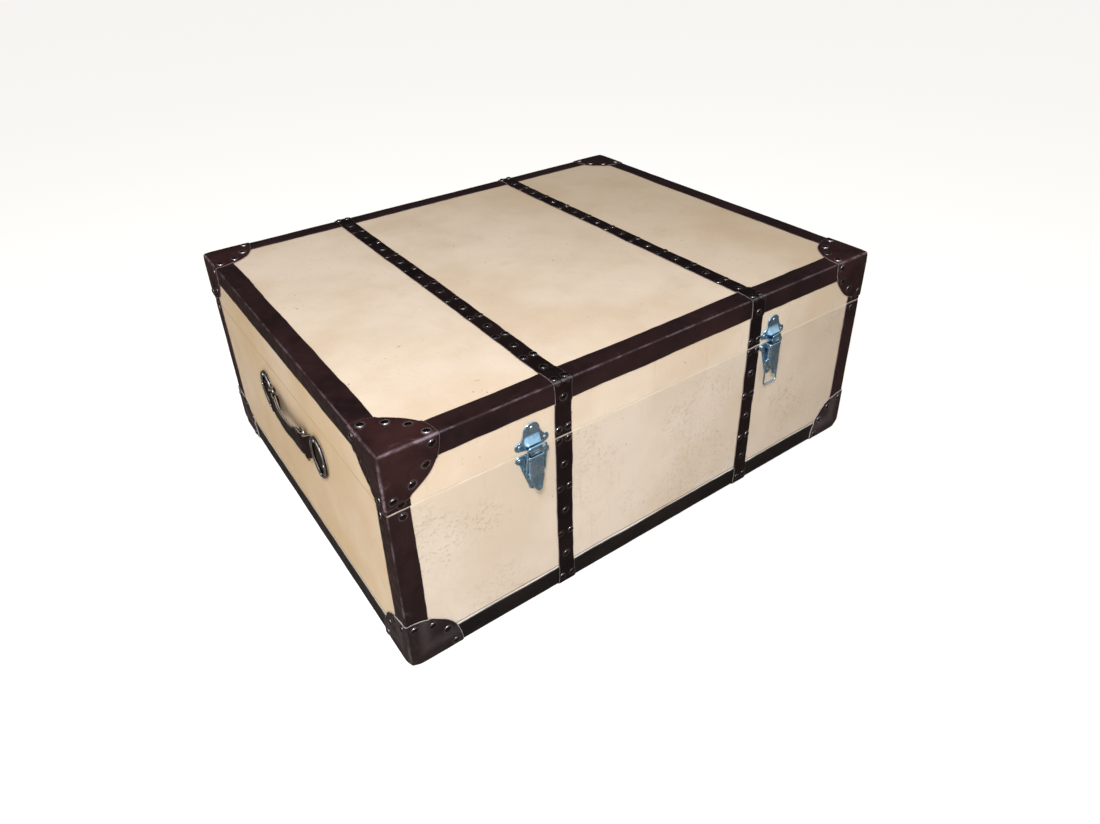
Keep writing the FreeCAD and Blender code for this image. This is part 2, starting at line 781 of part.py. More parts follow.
def oval(half_wide, half_tall, middle_y, low, high):
    """An oval slab on the left end between two distances from the canvas."""
    outline = Part.Wire([Part.Ellipse(V(0, 0, 0), half_tall, half_wide).toShape()])
    shape = Part.Face(outline).extrude(V(0, 0, high - low))
    shape.Placement = FreeCAD.Placement(V(out(low), middle_y, handle_z), FreeCAD.Rotation(V(0, 1, 0), -90))
    return shape


def handle_plate(side):
    """Oval steel rim that holds down the round end of the leather tab."""
    middle_y = handle_y + side * plate_spacing
    low = tab_leather
    high = tab_leather + oval_steel
    rim = oval(oval_half_y, oval_half_z, middle_y, low, high)
    rim = rim.cut(oval(oval_half_y - oval_rim, oval_half_z - oval_rim, middle_y, low, high))
    front_edges = [edge for edge in rim.Edges if abs(edge.CenterOfMass.x - out(high)) < match]
    rim = rim.makeFillet(oval_edge, front_edges)
    radius = screw_shank_radius + screw_hole_clearance
    for y, z in rivet_places(side):
        rim = rim.cut(rod(radius, V(out(low), y, z), V(out(high), y, z)))
    return rim


def rivet_places(side):
    middle_y = handle_y + side * plate_spacing
    tall = oval_half_z - rivet_inset
    wide = oval_half_y - rivet_inset
    return [(middle_y, handle_z + tall), (middle_y, handle_z - tall), (middle_y + side * wide, handle_z)]


def handle_tab(side):
    """Leather tab: a round pad under the oval rim, and a loop round the ring's bar."""
    middle_y = handle_y + side * plate_spacing
    bar_y = handle_y + side * ring_inner_y
    pad_y = oval_half_y - pad_inset
    pad_z = oval_half_z - pad_inset
    pad = oval(pad_y, pad_z, middle_y, 0.0, tab_leather)
    bore = ring_wire + loop_play
    around = bore + tab_leather
    pad_reach = pad_y * math.sqrt(1 - (tab_half / pad_z) ** 2)   # to the pad's edge at the neck's height
    neck_end = plate_spacing - ring_inner_y - pad_reach
    steps = [
        (neck_end, 0.0),
        (neck_end, tab_leather),
        (around - loop_play, tab_leather),
        (around - loop_play, ring_out),
        (0.0, ring_out + bore),
        (-around + loop_play, ring_out),
        (-bore, tab_leather),
        (0.0, 0.0),
    ]
    low = handle_z - tab_half
    high = handle_z + tab_half
    neck = slab("z", [(out(away), bar_y + side * y) for y, away in steps], low, high)
    loop = rod(around, V(out(ring_out), bar_y, low), V(out(ring_out), bar_y, high))
    hole = rod(bore, V(out(ring_out), bar_y, low), V(out(ring_out), bar_y, high))
    return fused([pad, neck, loop]).cut(hole)


def handle_ring(side):
    """Rectangular wire ring between tab and grip, with rounded corners."""
    low_y = handle_y + side * (ring_inner_y - ring_pitch)
    high_y = handle_y + side * ring_inner_y
    x = out(ring_out)
    low_z = handle_z - ring_half
    high_z = handle_z + ring_half
    straight_z = ring_half - ring_bend
    straight_y = side * ring_bend
    pieces = []
    for y in (low_y, high_y):
        pieces.append(rod(ring_wire, V(x, y, handle_z - straight_z), V(x, y, handle_z + straight_z)))
    for z in (low_z, high_z):
        pieces.append(rod(ring_wire, V(x, low_y + straight_y, z), V(x, high_y - straight_y, z)))
    for y, turn_y in ((low_y, straight_y), (high_y, -straight_y)):
        for z, turn_z in ((low_z, ring_bend), (high_z, -ring_bend)):
            centre = V(x, y + turn_y, z + turn_z)
            bend = Part.makeTorus(ring_bend, ring_wire, centre, V(1, 0, 0))
            reach = ring_bend + ring_wire
            span_y = sorted((centre.y, centre.y - math.copysign(reach, turn_y)))
            span_z = sorted((centre.z, centre.z - math.copysign(reach, turn_z)))
            pieces.append(bend.common(box((x - ring_wire, x + ring_wire), span_y, span_z)))
    return fused(pieces)


def handle_grip():
    """Leather grip, bowed away from the box, flared at both ends and looped round the rings."""
    bar = ring_inner_y - ring_pitch
    bore = ring_wire + loop_play
    retract = ring_pitch * (1 - math.cos(math.asin(grip_pull / ring_pitch)))
    nose = bar + retract + loop_play
    back = ring_out - grip_leather / 2
    front = ring_out + grip_leather / 2
    plan = [
        (-bar, back),
        ((0.0, back + grip_bow), (bar, back)),
        (bar, front),
        ((0.0, front + grip_bow), (-bar, front)),
    ]
    around = bore + grip_loop_leather
    low = handle_z - grip_end_half
    high = handle_z + grip_end_half
    body = slab("z", [place_grip(step) for step in plan], low, high)
    for side in (-1, 1):
        ends = [handle_y + side * bar, handle_y + side * nose]
        for y in ends:
            body = body.fuse(rod(around, V(out(ring_out), y, low), V(out(ring_out), y, high)))
        link = box((out(ring_out + around), out(ring_out - around)), sorted(ends), (low, high))
        slot = box((out(ring_out + bore), out(ring_out - bore)), sorted(ends), (low, high))
        body = body.fuse(link).cut(slot)
        for y in ends:
            body = body.cut(rod(bore, V(out(ring_out), y, low), V(out(ring_out), y, high)))
    flare = bar - grip_flare_end
    reach = nose + around
    upper = [
        (-reach, grip_end_half),
        (-flare - grip_flare_end / 2, grip_end_half),
        (-flare, grip_half),
        (flare, grip_half),
        (flare + grip_flare_end / 2, grip_end_half),
        (reach, grip_end_half),
    ]
    outline = upper + [(y, -z) for y, z in reversed(upper)]
    depth = (out(front + grip_bow + around), out(0.0))
    view = slab("x", [(handle_y + y, handle_z + z) for y, z in outline], depth[0], depth[1])
    return body.common(view).removeSplitter()


def place_grip(step):
    """Turn a plan step, given as place along the grip and distance from the canvas, into x and y."""
    if isinstance(step[0], tuple):
        return tuple(place_grip(point) for point in step)
    return (out(step[1]), handle_y + step[0])


def handles():
    """Every handle piece by name, for the left end and, mirrored, for the right end."""
    left = {
        "handle_plates": [handle_plate(side) for side in (-1, 1)],
        "handle_tabs": [handle_tab(side) for side in (-1, 1)],
        "handle_ring_front": [handle_ring(-1)],
        "handle_ring_back": [handle_ring(1)],
        "handle_grip": [handle_grip()],
    }
    rivets = []
    for side in (-1, 1):
        for y, z in rivet_places(side):
            rivets.append(driven(SCREW, V(out(tab_leather + oval_steel), y, z), V(-1, 0, 0)))
    pieces = {}
    for name, solids in left.items():
        pieces[name + "_left"] = solids
        pieces[name + "_right"] = [mirrored(solid, "x") for solid in solids]
    pieces["handle_rivets"] = rivets + [mirrored(rivet, "x") for rivet in rivets]
    return pieces


def build():
    """Every node of the trunk, each as a list of solids."""
    nodes = {}
    for group in (base_boards(), lid_boards(), covers(), corners()):
        for name, shape in group.items():
            nodes[name] = [shape]
    nodes["base_rim"] = rim_strips()
    nodes["base_long_bindings"] = long_bindings(binding_bottom, 1, wood_bottom)
    nodes["lid_long_bindings"] = long_bindings(binding_top, -1, canvas_top)
    nodes["base_edge_bindings"] = edge_bindings(foot_edge_z, base_top)
    nodes["lid_edge_bindings"] = edge_bindings(lid_bottom, strap_edge_z)
    nodes["base_nails"] = base_nails()
    nodes["lid_nails"] = lid_nails()
    nodes["base_screws"], nodes["lid_screws"] = latch_and_hinge_screws()
    pins = []
    hinge_pins = []
    sides = (
        ("left", strap_left_x, latch_left_x, True, hinge_left_x),
        ("right", strap_right_x, latch_right_x, False, hinge_right_x),
    )
    for side, strap_x, latch_x, raised, hinge_x in sides:
        nodes["lid_strap_" + side] = [lid_strap(strap_x)]
        nodes["base_strap_" + side] = both_sides(base_strap(strap_x), "y")
        for name, shape in latch(latch_x, raised).items():
            if name == "lever_pin":
                pins.append(shape)
            else:
                nodes[name + "_" + side] = [shape]
        for name, shape in hinge(hinge_x).items():
            if name == "hinge_pin":
                hinge_pins.append(shape)
            else:
                nodes[name + "_" + side] = [shape]
    nodes["lever_pins"] = pins
    nodes["hinge_pins"] = hinge_pins
    nodes.update(handles())
    return nodes


os.makedirs("parts", exist_ok=True)
for node, solids in build().items():
    save(node, solids)
    print(node, len(solids), round(sum(solid.Volume for solid in solids)))
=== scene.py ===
# %% [markdown]
# # A canvas and leather storage trunk
# The trunk is a flat wooden box under painted canvas. Dark leather covers its edges and corners,
# two straps cross it, and domed nails hold the leather. Its wooden box, joints and fittings come
# from the CAD frame; this notebook dresses them. Everything is in metres in the frame's own axes:
# X along the front, Y to the hinges at the back, Z up.

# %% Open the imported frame
import math

import bmesh
import bpy
import numpy as np
from mathutils import Matrix, Vector, geometry, noise


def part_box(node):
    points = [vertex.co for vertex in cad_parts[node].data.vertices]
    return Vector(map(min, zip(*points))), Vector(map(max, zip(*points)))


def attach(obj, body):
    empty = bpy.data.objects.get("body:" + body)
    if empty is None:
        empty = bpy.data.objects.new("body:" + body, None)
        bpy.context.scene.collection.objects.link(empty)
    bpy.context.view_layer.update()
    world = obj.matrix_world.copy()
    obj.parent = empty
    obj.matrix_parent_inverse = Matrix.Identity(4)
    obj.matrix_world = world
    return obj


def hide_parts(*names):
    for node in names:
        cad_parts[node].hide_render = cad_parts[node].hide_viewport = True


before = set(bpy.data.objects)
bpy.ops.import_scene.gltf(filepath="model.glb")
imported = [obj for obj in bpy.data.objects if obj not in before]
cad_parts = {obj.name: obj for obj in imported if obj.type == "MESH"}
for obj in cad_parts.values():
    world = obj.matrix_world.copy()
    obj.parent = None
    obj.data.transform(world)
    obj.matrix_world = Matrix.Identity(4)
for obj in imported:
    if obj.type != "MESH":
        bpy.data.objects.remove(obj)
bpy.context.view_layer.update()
MM = 0.001


def mm(*lengths):
    """Lengths in millimetres as metres."""
    return tuple(length * MM for length in lengths)


# %% [markdown]
# ## The camera
# A camera can be placed by eye, but the trunk's seven visible corners fix it exactly. Solving for
# them gave a wide lens close above the front left corner, with a slight roll. The picture was
# cropped, so the lens axis misses its middle, and the camera's shift makes up for that.

# %% Camera
PICTURE = (1100, 824)
CAMERA_PLACE = (-0.7551, -1.1545, 1.0084)
FOCAL = 784.3                       # in pixels of the picture
LENS_AXIS = (552.32, 333.92)        # where the lens axis meets the picture
AZIMUTH, ELEVATION, ROLL = (math.radians(angle) for angle in (-34.95, 29.82, -1.68))


def show(name, data):
    """A new object in the scene."""
    made = bpy.data.objects.new(name, data)
    bpy.context.scene.collection.objects.link(made)
    return made


camera = show("camera", bpy.data.cameras.new("camera"))
camera.data.sensor_width = 36
camera.data.lens = FOCAL / PICTURE[0] * camera.data.sensor_width
camera.data.shift_x = (PICTURE[0] / 2 - LENS_AXIS[0]) / PICTURE[0]
camera.data.shift_y = (LENS_AXIS[1] - PICTURE[1] / 2) / PICTURE[0]
turn = Matrix.Identity(4)
for angle, axis in ((AZIMUTH, "Z"), (math.pi / 2 - ELEVATION, "X"), (ROLL, "Z")):
    turn = turn @ Matrix.Rotation(angle, 4, axis)
camera.matrix_world = Matrix.Translation(CAMERA_PLACE) @ turn
bpy.context.scene.camera = camera
print("lens", round(camera.data.lens, 2), "mm, shift", round(camera.data.shift_y, 4))

# %% [markdown]
# ## Node graphs from Python
# Shaders and geometry trees are both graphs of nodes. One small class adds a node from its type,
# its socket values and its settings. What it returns can be added, multiplied and so on, and each
# such step becomes a Math node, so that shader maths reads like ordinary maths. An index gives
# another output of the same node.

# %% Graph helpers


class Wire:
    """An output of a node, which arithmetic can go on from."""

    def __init__(self, graph, socket):
        self.graph = graph
        self.socket = socket

    def __getitem__(self, output):
        return Wire(self.graph, self.socket.node.outputs[output])

    def math(self, operation, first, second=0.0):
        return self.graph.node("ShaderNodeMath", {0: first, 1: second}, operation=operation)

    def __add__(self, other):
        return self.math("ADD", self, other)

    def __sub__(self, other):
        return self.math("SUBTRACT", self, other)

    def __rsub__(self, other):
        return self.math("SUBTRACT", other, self)

    def __mul__(self, other):
        return self.math("MULTIPLY", self, other)

    def __abs__(self):
        return self.math("ABSOLUTE", self)

    def sine(self):
        return self.math("SINE", self)

    __radd__ = __add__
    __rmul__ = __mul__


class Graph:
    """A node tree that nodes are added to."""

    def __init__(self, tree):
        self.tree = tree
        tree.nodes.clear()

    def node(self, kind, values=None, output=0, **settings):
        made = self.tree.nodes.new(kind)
        for name, setting in settings.items():
            setattr(made, name, setting)
        for name, value in (values or {}).items():
            if isinstance(value, Wire):
                self.tree.links.new(value.socket, made.inputs[name])
            else:
                made.inputs[name].default_value = value
        return Wire(self, made.outputs[output]) if len(made.outputs) else None

    def steps(self, value, start, end, low=0.0, high=1.0):
        """low before start, high after end, and a smooth change between."""
        values = {"Value": value, "From Min": start, "From Max": end, "To Min": low, "To Max": high}
        return self.node("ShaderNodeMapRange", values, interpolation_type="SMOOTHSTEP")


def linear(colour):
    """A colour in the 0 to 255 steps of a picture, as a shader wants it. A wire stays as it is."""
    def light(step):
        share = step / 255
        return share / 12.92 if share <= 0.04045 else ((share + 0.055) / 1.055) ** 2.4
    return colour if isinstance(colour, Wire) else (*map(light, colour), 1.0)


class Paint(Graph):
    """A material under construction."""

    def __init__(self, name):
        self.material = bpy.data.materials.new(name)
        self.material.use_nodes = True
        super().__init__(self.material.node_tree)
        self.place = self.node("ShaderNodeTexCoord", output="Object")

    def stretched(self, scales):
        """Object coordinates with each axis multiplied."""
        return self.node("ShaderNodeVectorMath", {0: self.place, 1: scales}, operation="MULTIPLY")

    def clouds(self, scale, detail=2.0, rough=0.5, place=None, distortion=0.0):
        values = {"Vector": place or self.place, "Scale": scale, "Detail": detail, "Roughness": rough,
                  "Distortion": distortion}
        return self.node("ShaderNodeTexNoise", values)

    def cells(self, scale, place=None):
        return self.node("ShaderNodeTexVoronoi", {"Vector": place or self.place, "Scale": scale}, "Distance")

    def band(self, value, start, peak, end):
        return self.steps(value, start, peak) * self.steps(value, peak, end, 1.0, 0.0)

    def mix(self, first, second, share):
        values = {0: share, 6: linear(first), 7: linear(second)}
        return self.node("ShaderNodeMix", values, 2, data_type="RGBA")

    def layers(self, colour, *tints):
        """Each (tint, share) goes over the colour that the ones before it give."""
        for tint, share in tints:
            colour = self.mix(colour, tint, share)
        return colour

    def shade(self, colour, share):
        """Multiply a colour by a grey that varies."""
        grey = self.node("ShaderNodeCombineColor", {0: share, 1: share, 2: share})
        return self.node("ShaderNodeMix", {0: 1.0, 6: colour, 7: grey}, 2, data_type="RGBA",
                         blend_type="MULTIPLY")

    def axes(self):
        parts = self.node("ShaderNodeSeparateXYZ", {0: self.place})
        return [parts[index] for index in range(3)]

    def mark(self, name):
        """A number that the mesh carries at each of its points."""
        return self.node("ShaderNodeAttribute", {}, "Fac", attribute_name=name)

    def bump(self, height, depth, normal=None):
        values = {"Height": height, "Distance": depth, "Strength": 1.0}
        if normal:
            values["Normal"] = normal
        return self.node("ShaderNodeBump", values)

    def finish(self, colour, roughness, normal, metallic=0.0, gloss=0.5, coat=0.0):
        """Join it all in one shader. coat is how much lacquer lies over it."""
        values = {"Base Color": colour, "Roughness": roughness, "Normal": normal, "Metallic": metallic,
                  "Specular IOR Level": gloss, "Coat Weight": coat, "Coat Roughness": 0.1}
        shader = self.node("ShaderNodeBsdfPrincipled", values)
        self.node("ShaderNodeOutputMaterial", {"Surface": shader})
        return self.material


print("graph helpers ready")

# %% [markdown]
# ## Floor and light
# The trunk was lit by a flash near the camera: its near corner is brightest and the light falls
# off quickly behind. A small lamp by the camera gives that, and an even world fills the rest.
# A white background comes from what the camera sees, not from stronger lamps: the floor gets a
# glow for camera rays only, so the light stays at a plain level and the shadow stays visible.
# What metal and leather reflect is a dark floor and a room that is bright on the flash's side, so
# that their shapes show.

# %% Floor, world and lamps
FLOOR_SIZE = 30.0
FLOOR_GLOW = 0.56
AMBIENT = 0.42
SOFT_BOX = (-0.2, -0.7, 0.69)       # the way to the bright side of the room that metal mirrors


def add_piece(name, places, faces, paint):
    mesh = bpy.data.meshes.new(name)
    mesh.from_pydata([tuple(place) for place in places], [], [tuple(int(i) for i in face) for face in faces])
    mesh.polygons.foreach_set("use_smooth", [True] * len(mesh.polygons))
    mesh.materials.append(paint)
    mesh.update()
    return show(name, mesh)


def make_floor():
    half = FLOOR_SIZE / 2
    paint = Paint("pale floor")
    matt = paint.node("ShaderNodeBsdfDiffuse", {"Color": linear((240, 240, 240))})
    glow = paint.node("ShaderNodeEmission", {"Color": (1, 1, 1, 1), "Strength": FLOOR_GLOW})
    rays = paint.node("ShaderNodeLightPath", output="Is Camera Ray")
    glow = paint.node("ShaderNodeMixShader", {0: rays, 2: glow})
    seen = paint.node("ShaderNodeAddShader", {0: matt, 1: glow})
    dark = paint.node("ShaderNodeBsdfDiffuse", {"Color": linear((132, 122, 118))})
    seen = paint.node("ShaderNodeMixShader", {0: rays["Is Glossy Ray"], 1: seen, 2: dark})
    paint.node("ShaderNodeOutputMaterial", {"Surface": seen})
    corners = [(-half, -half, 0), (half, -half, 0), (half, half, 0), (-half, half, 0)]
    add_piece("floor", corners, [(0, 1, 2, 3)], paint.material)


def make_world():
    world = bpy.data.worlds.new("studio")
    world.use_nodes = True
    graph = Graph(world.node_tree)
    rays = graph.node("ShaderNodeLightPath", output="Is Camera Ray")
    soft = graph.node("ShaderNodeBackground", {"Color": (1, 0.955, 0.885, 1), "Strength": AMBIENT})
    white = graph.node("ShaderNodeBackground", {"Color": (1, 1, 1, 1), "Strength": 1.0})
    way = graph.node("ShaderNodeTexCoord", output="Generated")
    facing = graph.node("ShaderNodeVectorMath", {0: way, 1: SOFT_BOX}, "Value", operation="DOT_PRODUCT")
    glow = graph.steps(facing, 0.0, 0.85, 0.05, 1.1)
    sky = graph.node("ShaderNodeCombineColor", {0: glow * 0.94, 1: glow * 0.97, 2: glow})
    gloss = graph.node("ShaderNodeBackground", {"Color": sky, "Strength": 1.0})
    direct = rays.math("MAXIMUM", rays, rays["Is Transmission Ray"])
    seen = graph.node("ShaderNodeMixShader", {0: direct, 1: soft, 2: white})
    seen = graph.node("ShaderNodeMixShader", {0: rays["Is Glossy Ray"], 1: seen, 2: gloss})
    graph.node("ShaderNodeOutputWorld", {"Surface": seen})
    bpy.context.scene.world = world


def make_lamp(name, place, target, width, power, colour):
    data = bpy.data.lights.new(name, "AREA")
    data.shape = "DISK"
    data.size = width
    data.energy = power
    data.color = colour
    aim = (Vector(target) - Vector(place)).to_track_quat("-Z", "Y").to_matrix().to_4x4()
    show(name, data).matrix_world = Matrix.Translation(place) @ aim


make_floor()
make_world()
make_lamp("flash", (-0.93, -1.25, 1.6), (-0.2, -0.2, 0.25), 0.35, 28.0, (1.0, 0.985, 0.975))
make_lamp("side", (-2.4, 0.1, 1.3), (-0.2, 0.0, 0.2), 1.2, 3.0, (1.0, 0.93, 0.82))
bpy.context.scene.view_settings.view_transform = "Standard"
print("lamps", [lamp.name for lamp in bpy.data.lights])

# %% [markdown]
# ## Canvas
# The canvas is glued down and sized with a creamy paint, so that the weave is only just there. It
# has clouds of darker cream, small dirt specks and faint upright streaks. The base's front and
# back are greyer, with patches of small lumps, and the lumps are also darkened in the colour as
# painted shade. Along the bottom leather a second strip of cloth shows as a white line, with old
# glue and a dark crack over it. Towards its far right corner the cloth is painted darker and
# yellower as shade, where the light falls off, and the two ends are yellower. All of it reads
# Object coordinates, which are metres on this object.

# %% Canvas paint
THREAD = 1.5 * MM                   # from one thread to the next
GLUE_LINE_Z = 40.8 * MM             # how high the cloth's pasted edge lies, over the bottom leather
BOX_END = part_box("lid_canvas")[1].x
BASE_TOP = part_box("base_canvas")[1].z


def canvas_paint():
    paint = Paint("sized canvas")
    x, y, z = paint.axes()
    turns = 2 * math.pi / THREAD
    weave = sum(abs((axis * turns).sine()) * share for axis, share in ((x, 0.34), (y, 0.33), (z, 0.33)))
    cloud = paint.clouds(4.5, 3.0, 0.6)
    blotch = paint.clouds(19.0, 5.0, 0.65, distortion=0.6)
    streak = paint.clouds(1.0, 3.0, 0.6, paint.stretched((150.0, 150.0, 9.0)))
    speck = paint.steps(paint.clouds(130.0, 2.0, 0.5), 0.7, 0.75)
    speckled = paint.steps(paint.clouds(13.0), 0.54, 0.62)
    # painted shade: the cloth darkens and yellows towards the far right corner, where the light falls off
    far_shade = paint.steps(x + y * 0.45, -0.15, 0.45)
    colour = paint.layers(
        (238, 222, 204),
        ((226, 206, 182), paint.steps(cloud, 0.38, 0.68)),
        ((224, 202, 180), paint.steps(blotch, 0.5, 0.72, 0.0, 0.4)),
        ((196, 172, 138), far_shade * 0.42),
        ((196, 172, 142), paint.steps(streak, 0.6, 0.78, 0.0, 0.3)),
        ((140, 124, 106), speck * speckled * 0.65),
    )
    at_end = paint.steps(abs(x), BOX_END - 1.4 * MM, BOX_END - 0.4 * MM)
    on_front = paint.steps(z, BASE_TOP - 4 * MM, BASE_TOP, 1.0, 0.0) * (1.0 - at_end)
    lumps = paint.steps(paint.clouds(170.0, 2.0), 0.52, 0.7) * paint.steps(paint.clouds(7.0), 0.44, 0.58)
    lumps = lumps * on_front
    line = z + paint.clouds(5.0, 3.0) * 4 * MM - 2 * MM
    pasted = paint.steps(paint.clouds(4.0, 3.0), 0.44, 0.56)
    bare = paint.steps(line, GLUE_LINE_Z - 0.6 * MM, GLUE_LINE_Z, 1.0, 0.0)
    glue, crack = (paint.band(line, GLUE_LINE_Z - 0.4 * MM, GLUE_LINE_Z + 0.8 * MM, GLUE_LINE_Z + height)
                   for height in mm(4, 2.2))
    colour = paint.layers(
        # the lumps * 0.1 term darkens the lumps as painted shade
        paint.shade(colour, 0.95 + weave * 0.07 - lumps * 0.1),
        ((188, 180, 172), on_front * 0.25),
        ((224, 190, 138), at_end * paint.steps(cloud, 0.2, 0.6, 0.4, 1.0) * 0.52),
        ((255, 252, 246), bare * 0.9),
        ((158, 128, 88), glue * pasted * 0.85),
        ((62, 50, 40), crack * (1.0 - pasted * 0.6) * 0.95),
    )
    relief = None
    for height, depth in ((weave, 0.12), (paint.clouds(240.0, 4.0, 0.7), 0.25), (lumps, 0.6), (blotch, 1.1)):
        relief = paint.bump(height, depth * MM, relief)
    return paint.finish(colour, paint.steps(blotch, 0.3, 0.7, 0.66, 0.84), relief, gloss=0.15)


CANVAS = canvas_paint()
print("painted", CANVAS.name)

# %% [markdown]
# ## Leather
# The leather is thick, nearly black-brown hide with a satin finish. Where it is cut, folded or
# pressed round a nail its surface is stretched and worn paler, and that is what makes the edges
# read. On the foot corners a pale band where the leather bends down off a strip is painted sheen.
# Each leather mesh carries three numbers in millimetres for this: `edge_mm` to its cut edge,
# `fold_mm` to the box's edge and `nail_mm` to the nearest nail. The shader turns them into wear
# and into that painted sheen.

# %% Leather paint


def leather_paint(name, deep, mid, wear_and_sheen, cut=1.0, crest=0.4, ring=0.3, gloss=0.2, painted_sheen=0.0):
    """cut, crest and ring say how much the cut edge, the fold and the nails' surrounds are rubbed paler.
    The last argument is a pale band of painted sheen where leather bends down off the edge of a strip
    that lies under it."""
    paint = Paint(name)
    patch = paint.clouds(9.0, 4.0, 0.6)
    mottle = paint.clouds(60.0, 4.0, 0.65)
    rubbed = paint.clouds(34.0, 5.0, 0.7, distortion=0.8)
    creases = paint.clouds(75.0, 5.0, 0.7, distortion=1.6)
    edge, fold, nail = (paint.mark(mark) for mark in ("edge_mm", "fold_mm", "nail_mm"))
    pale = paint.steps(edge, 0.3, 1.0, cut, 0.0) * paint.steps(rubbed, 0.28, 0.55, 0.15, 1.0)
    for wear in (
        paint.steps(fold, 0.3, 1.7, crest, 0.0) * paint.steps(rubbed, 0.4, 0.66, 0.1, 1.0),
        paint.steps(fold, 2.0, 14.0, 0.3, 0.0) * paint.steps(rubbed, 0.56, 0.76) * crest,
        paint.band(nail, 5.7, 6.8, 8.2) * paint.steps(rubbed, 0.3, 0.6, 0.35, 1.0)
        * paint.steps(patch, 0.42, 0.6, 0.3, 1.0) * ring,
        # painted sheen: a pale band where the leather bends down off a strip
        paint.band(fold, 10.0, 26.0, 42.0) * paint.steps(patch, 0.35, 0.6, 0.6, 1.0) * painted_sheen,
    ):
        pale = pale.math("MAXIMUM", pale, wear)
    colour = paint.layers(
        deep,
        (mid, paint.steps(patch, 0.35, 0.7)),
        (mid, paint.steps(mottle, 0.5, 0.75, 0.0, 0.5)),
        (wear_and_sheen, pale),
    )
    relief = paint.bump(creases, 0.45 * MM, paint.bump(paint.cells(620.0), 0.12 * MM))
    return paint.finish(colour, paint.steps(mottle, 0.3, 0.7, 0.36, 0.56), relief, gloss=gloss)


BROWN = ((29, 15, 16), (47, 27, 28), (150, 132, 142))
# a darker copy of the brown leather for the foot strips: painted shade, as they lie low in shade
SHADED_BROWN = ((15, 12, 12), (28, 23, 22), (138, 132, 132))
LEATHER = leather_paint("strip leather", *BROWN, cut=0.3, crest=0.35, ring=0.3)
# a lighter, redder copy of the brown leather: painted sheen on the lid corners
CORNER_LEATHER = leather_paint("corner leather", (33, 16, 17), (56, 31, 31),
                               (150, 132, 142), cut=0.9, crest=0.8, ring=0.3)
STRAP_LEATHER = leather_paint("strap leather", (15, 7, 7), (30, 17, 17),
                              (156, 144, 146), cut=0.75, crest=0.7, ring=0.2, gloss=0.14)
# the foot strips get the darker copy of the leather as painted shade
FOOT_LEATHER = leather_paint("foot strip leather", *SHADED_BROWN, cut=0.4, crest=0.3, ring=0.2)
# the foot corners carry the band of painted sheen
FOOT_CORNER_LEATHER = leather_paint("foot corner leather", (28, 16, 18), (50, 34, 36),
                                    (206, 200, 200), cut=0.95, crest=0.2, ring=0.2, gloss=0.4,
                                    painted_sheen=0.055)
HANDLE_LEATHER = leather_paint("handle leather", (20, 13, 13), (40, 27, 25),
                               (186, 172, 160), cut=0.8, crest=0.0, ring=0.0)
print("painted", [paint.name for paint in bpy.data.materials if "leather" in paint.name])

# %% [markdown]
# ## Metal and wood
# The nails are blackened bronze under a clear lacquer, and highly domed, so each shows one small
# bright reflection. Their rims are a little rubbed, more so near the corners, and on top of the
# corners they are painted bright as a highlight. The draw bolts have a bluish zinc plate. The
# handle and hinge steel is plainer, and the handle steel is painted dark in its hollows as shade.
# A number on the mesh, `rise`, tells the shader how far up its dome or bead a point lies. The box
# itself is planed pine.

# %% Metal and wood paints


def metal_paint(name, bright, dull, roughness, dent=0.3, dirt=None, hollow=None, soil=0.7):
    """dirt lies in patches. hollow is a painted shade on what lies low on a pressed or domed piece."""
    paint = Paint(name)
    cloud = paint.clouds(70.0, 4.0, 0.6)
    scratches = paint.clouds(1.0, 2.0, 0.6, paint.stretched((900.0, 900.0, 60.0)))
    colour = paint.mix(bright, dull, paint.steps(cloud, 0.38, 0.66))
    grime = paint.steps(paint.clouds(240.0, 4.0, 0.7), 0.58, 0.72)
    if dirt:
        colour = paint.mix(colour, dirt, grime * soil)
    if hollow:
        # painted shade where the piece lies low
        colour = paint.mix(hollow, colour, paint.steps(paint.mark("rise"), 0.4, 0.82))
    rough = paint.steps(cloud, 0.3, 0.7, *roughness) + grime * 0.15
    relief = paint.bump(cloud, dent * MM, paint.bump(scratches, 0.02 * MM))
    return paint.finish(colour, rough, relief, metallic=1.0)


def nail_paint():
    paint = Paint("black bronze")
    x, y, z = paint.axes()
    cloud = paint.clouds(160.0, 3.0, 0.6)
    near_corner = paint.steps(abs(x), 0.385, 0.415) * paint.steps(abs(y), 0.285, 0.315)
    on_top_glint = paint.steps(z, 0.39, 0.396)
    rubbed = paint.steps(paint.clouds(38.0, 2.0), 0.42, 0.6)
    rim = paint.steps(paint.mark("rise"), 0.3, 0.62, 1.0, 0.0)
    # the rims are a little rubbed, more near the corners, and on top of the corners they are painted bright
    # as a highlight
    rim = rim * (near_corner * (on_top_glint * 0.58 + 0.08) + rubbed * 0.24 + 0.05)
    colour = paint.layers((48, 38, 36), ((24, 19, 18), paint.steps(cloud, 0.4, 0.62)),
                          ((226, 218, 220), rim))
    rough = paint.steps(cloud, 0.3, 0.7, 0.14, 0.26) + rim * 0.25
    return paint.finish(colour, rough, paint.bump(cloud, 0.15 * MM), metallic=1.0, coat=0.45)


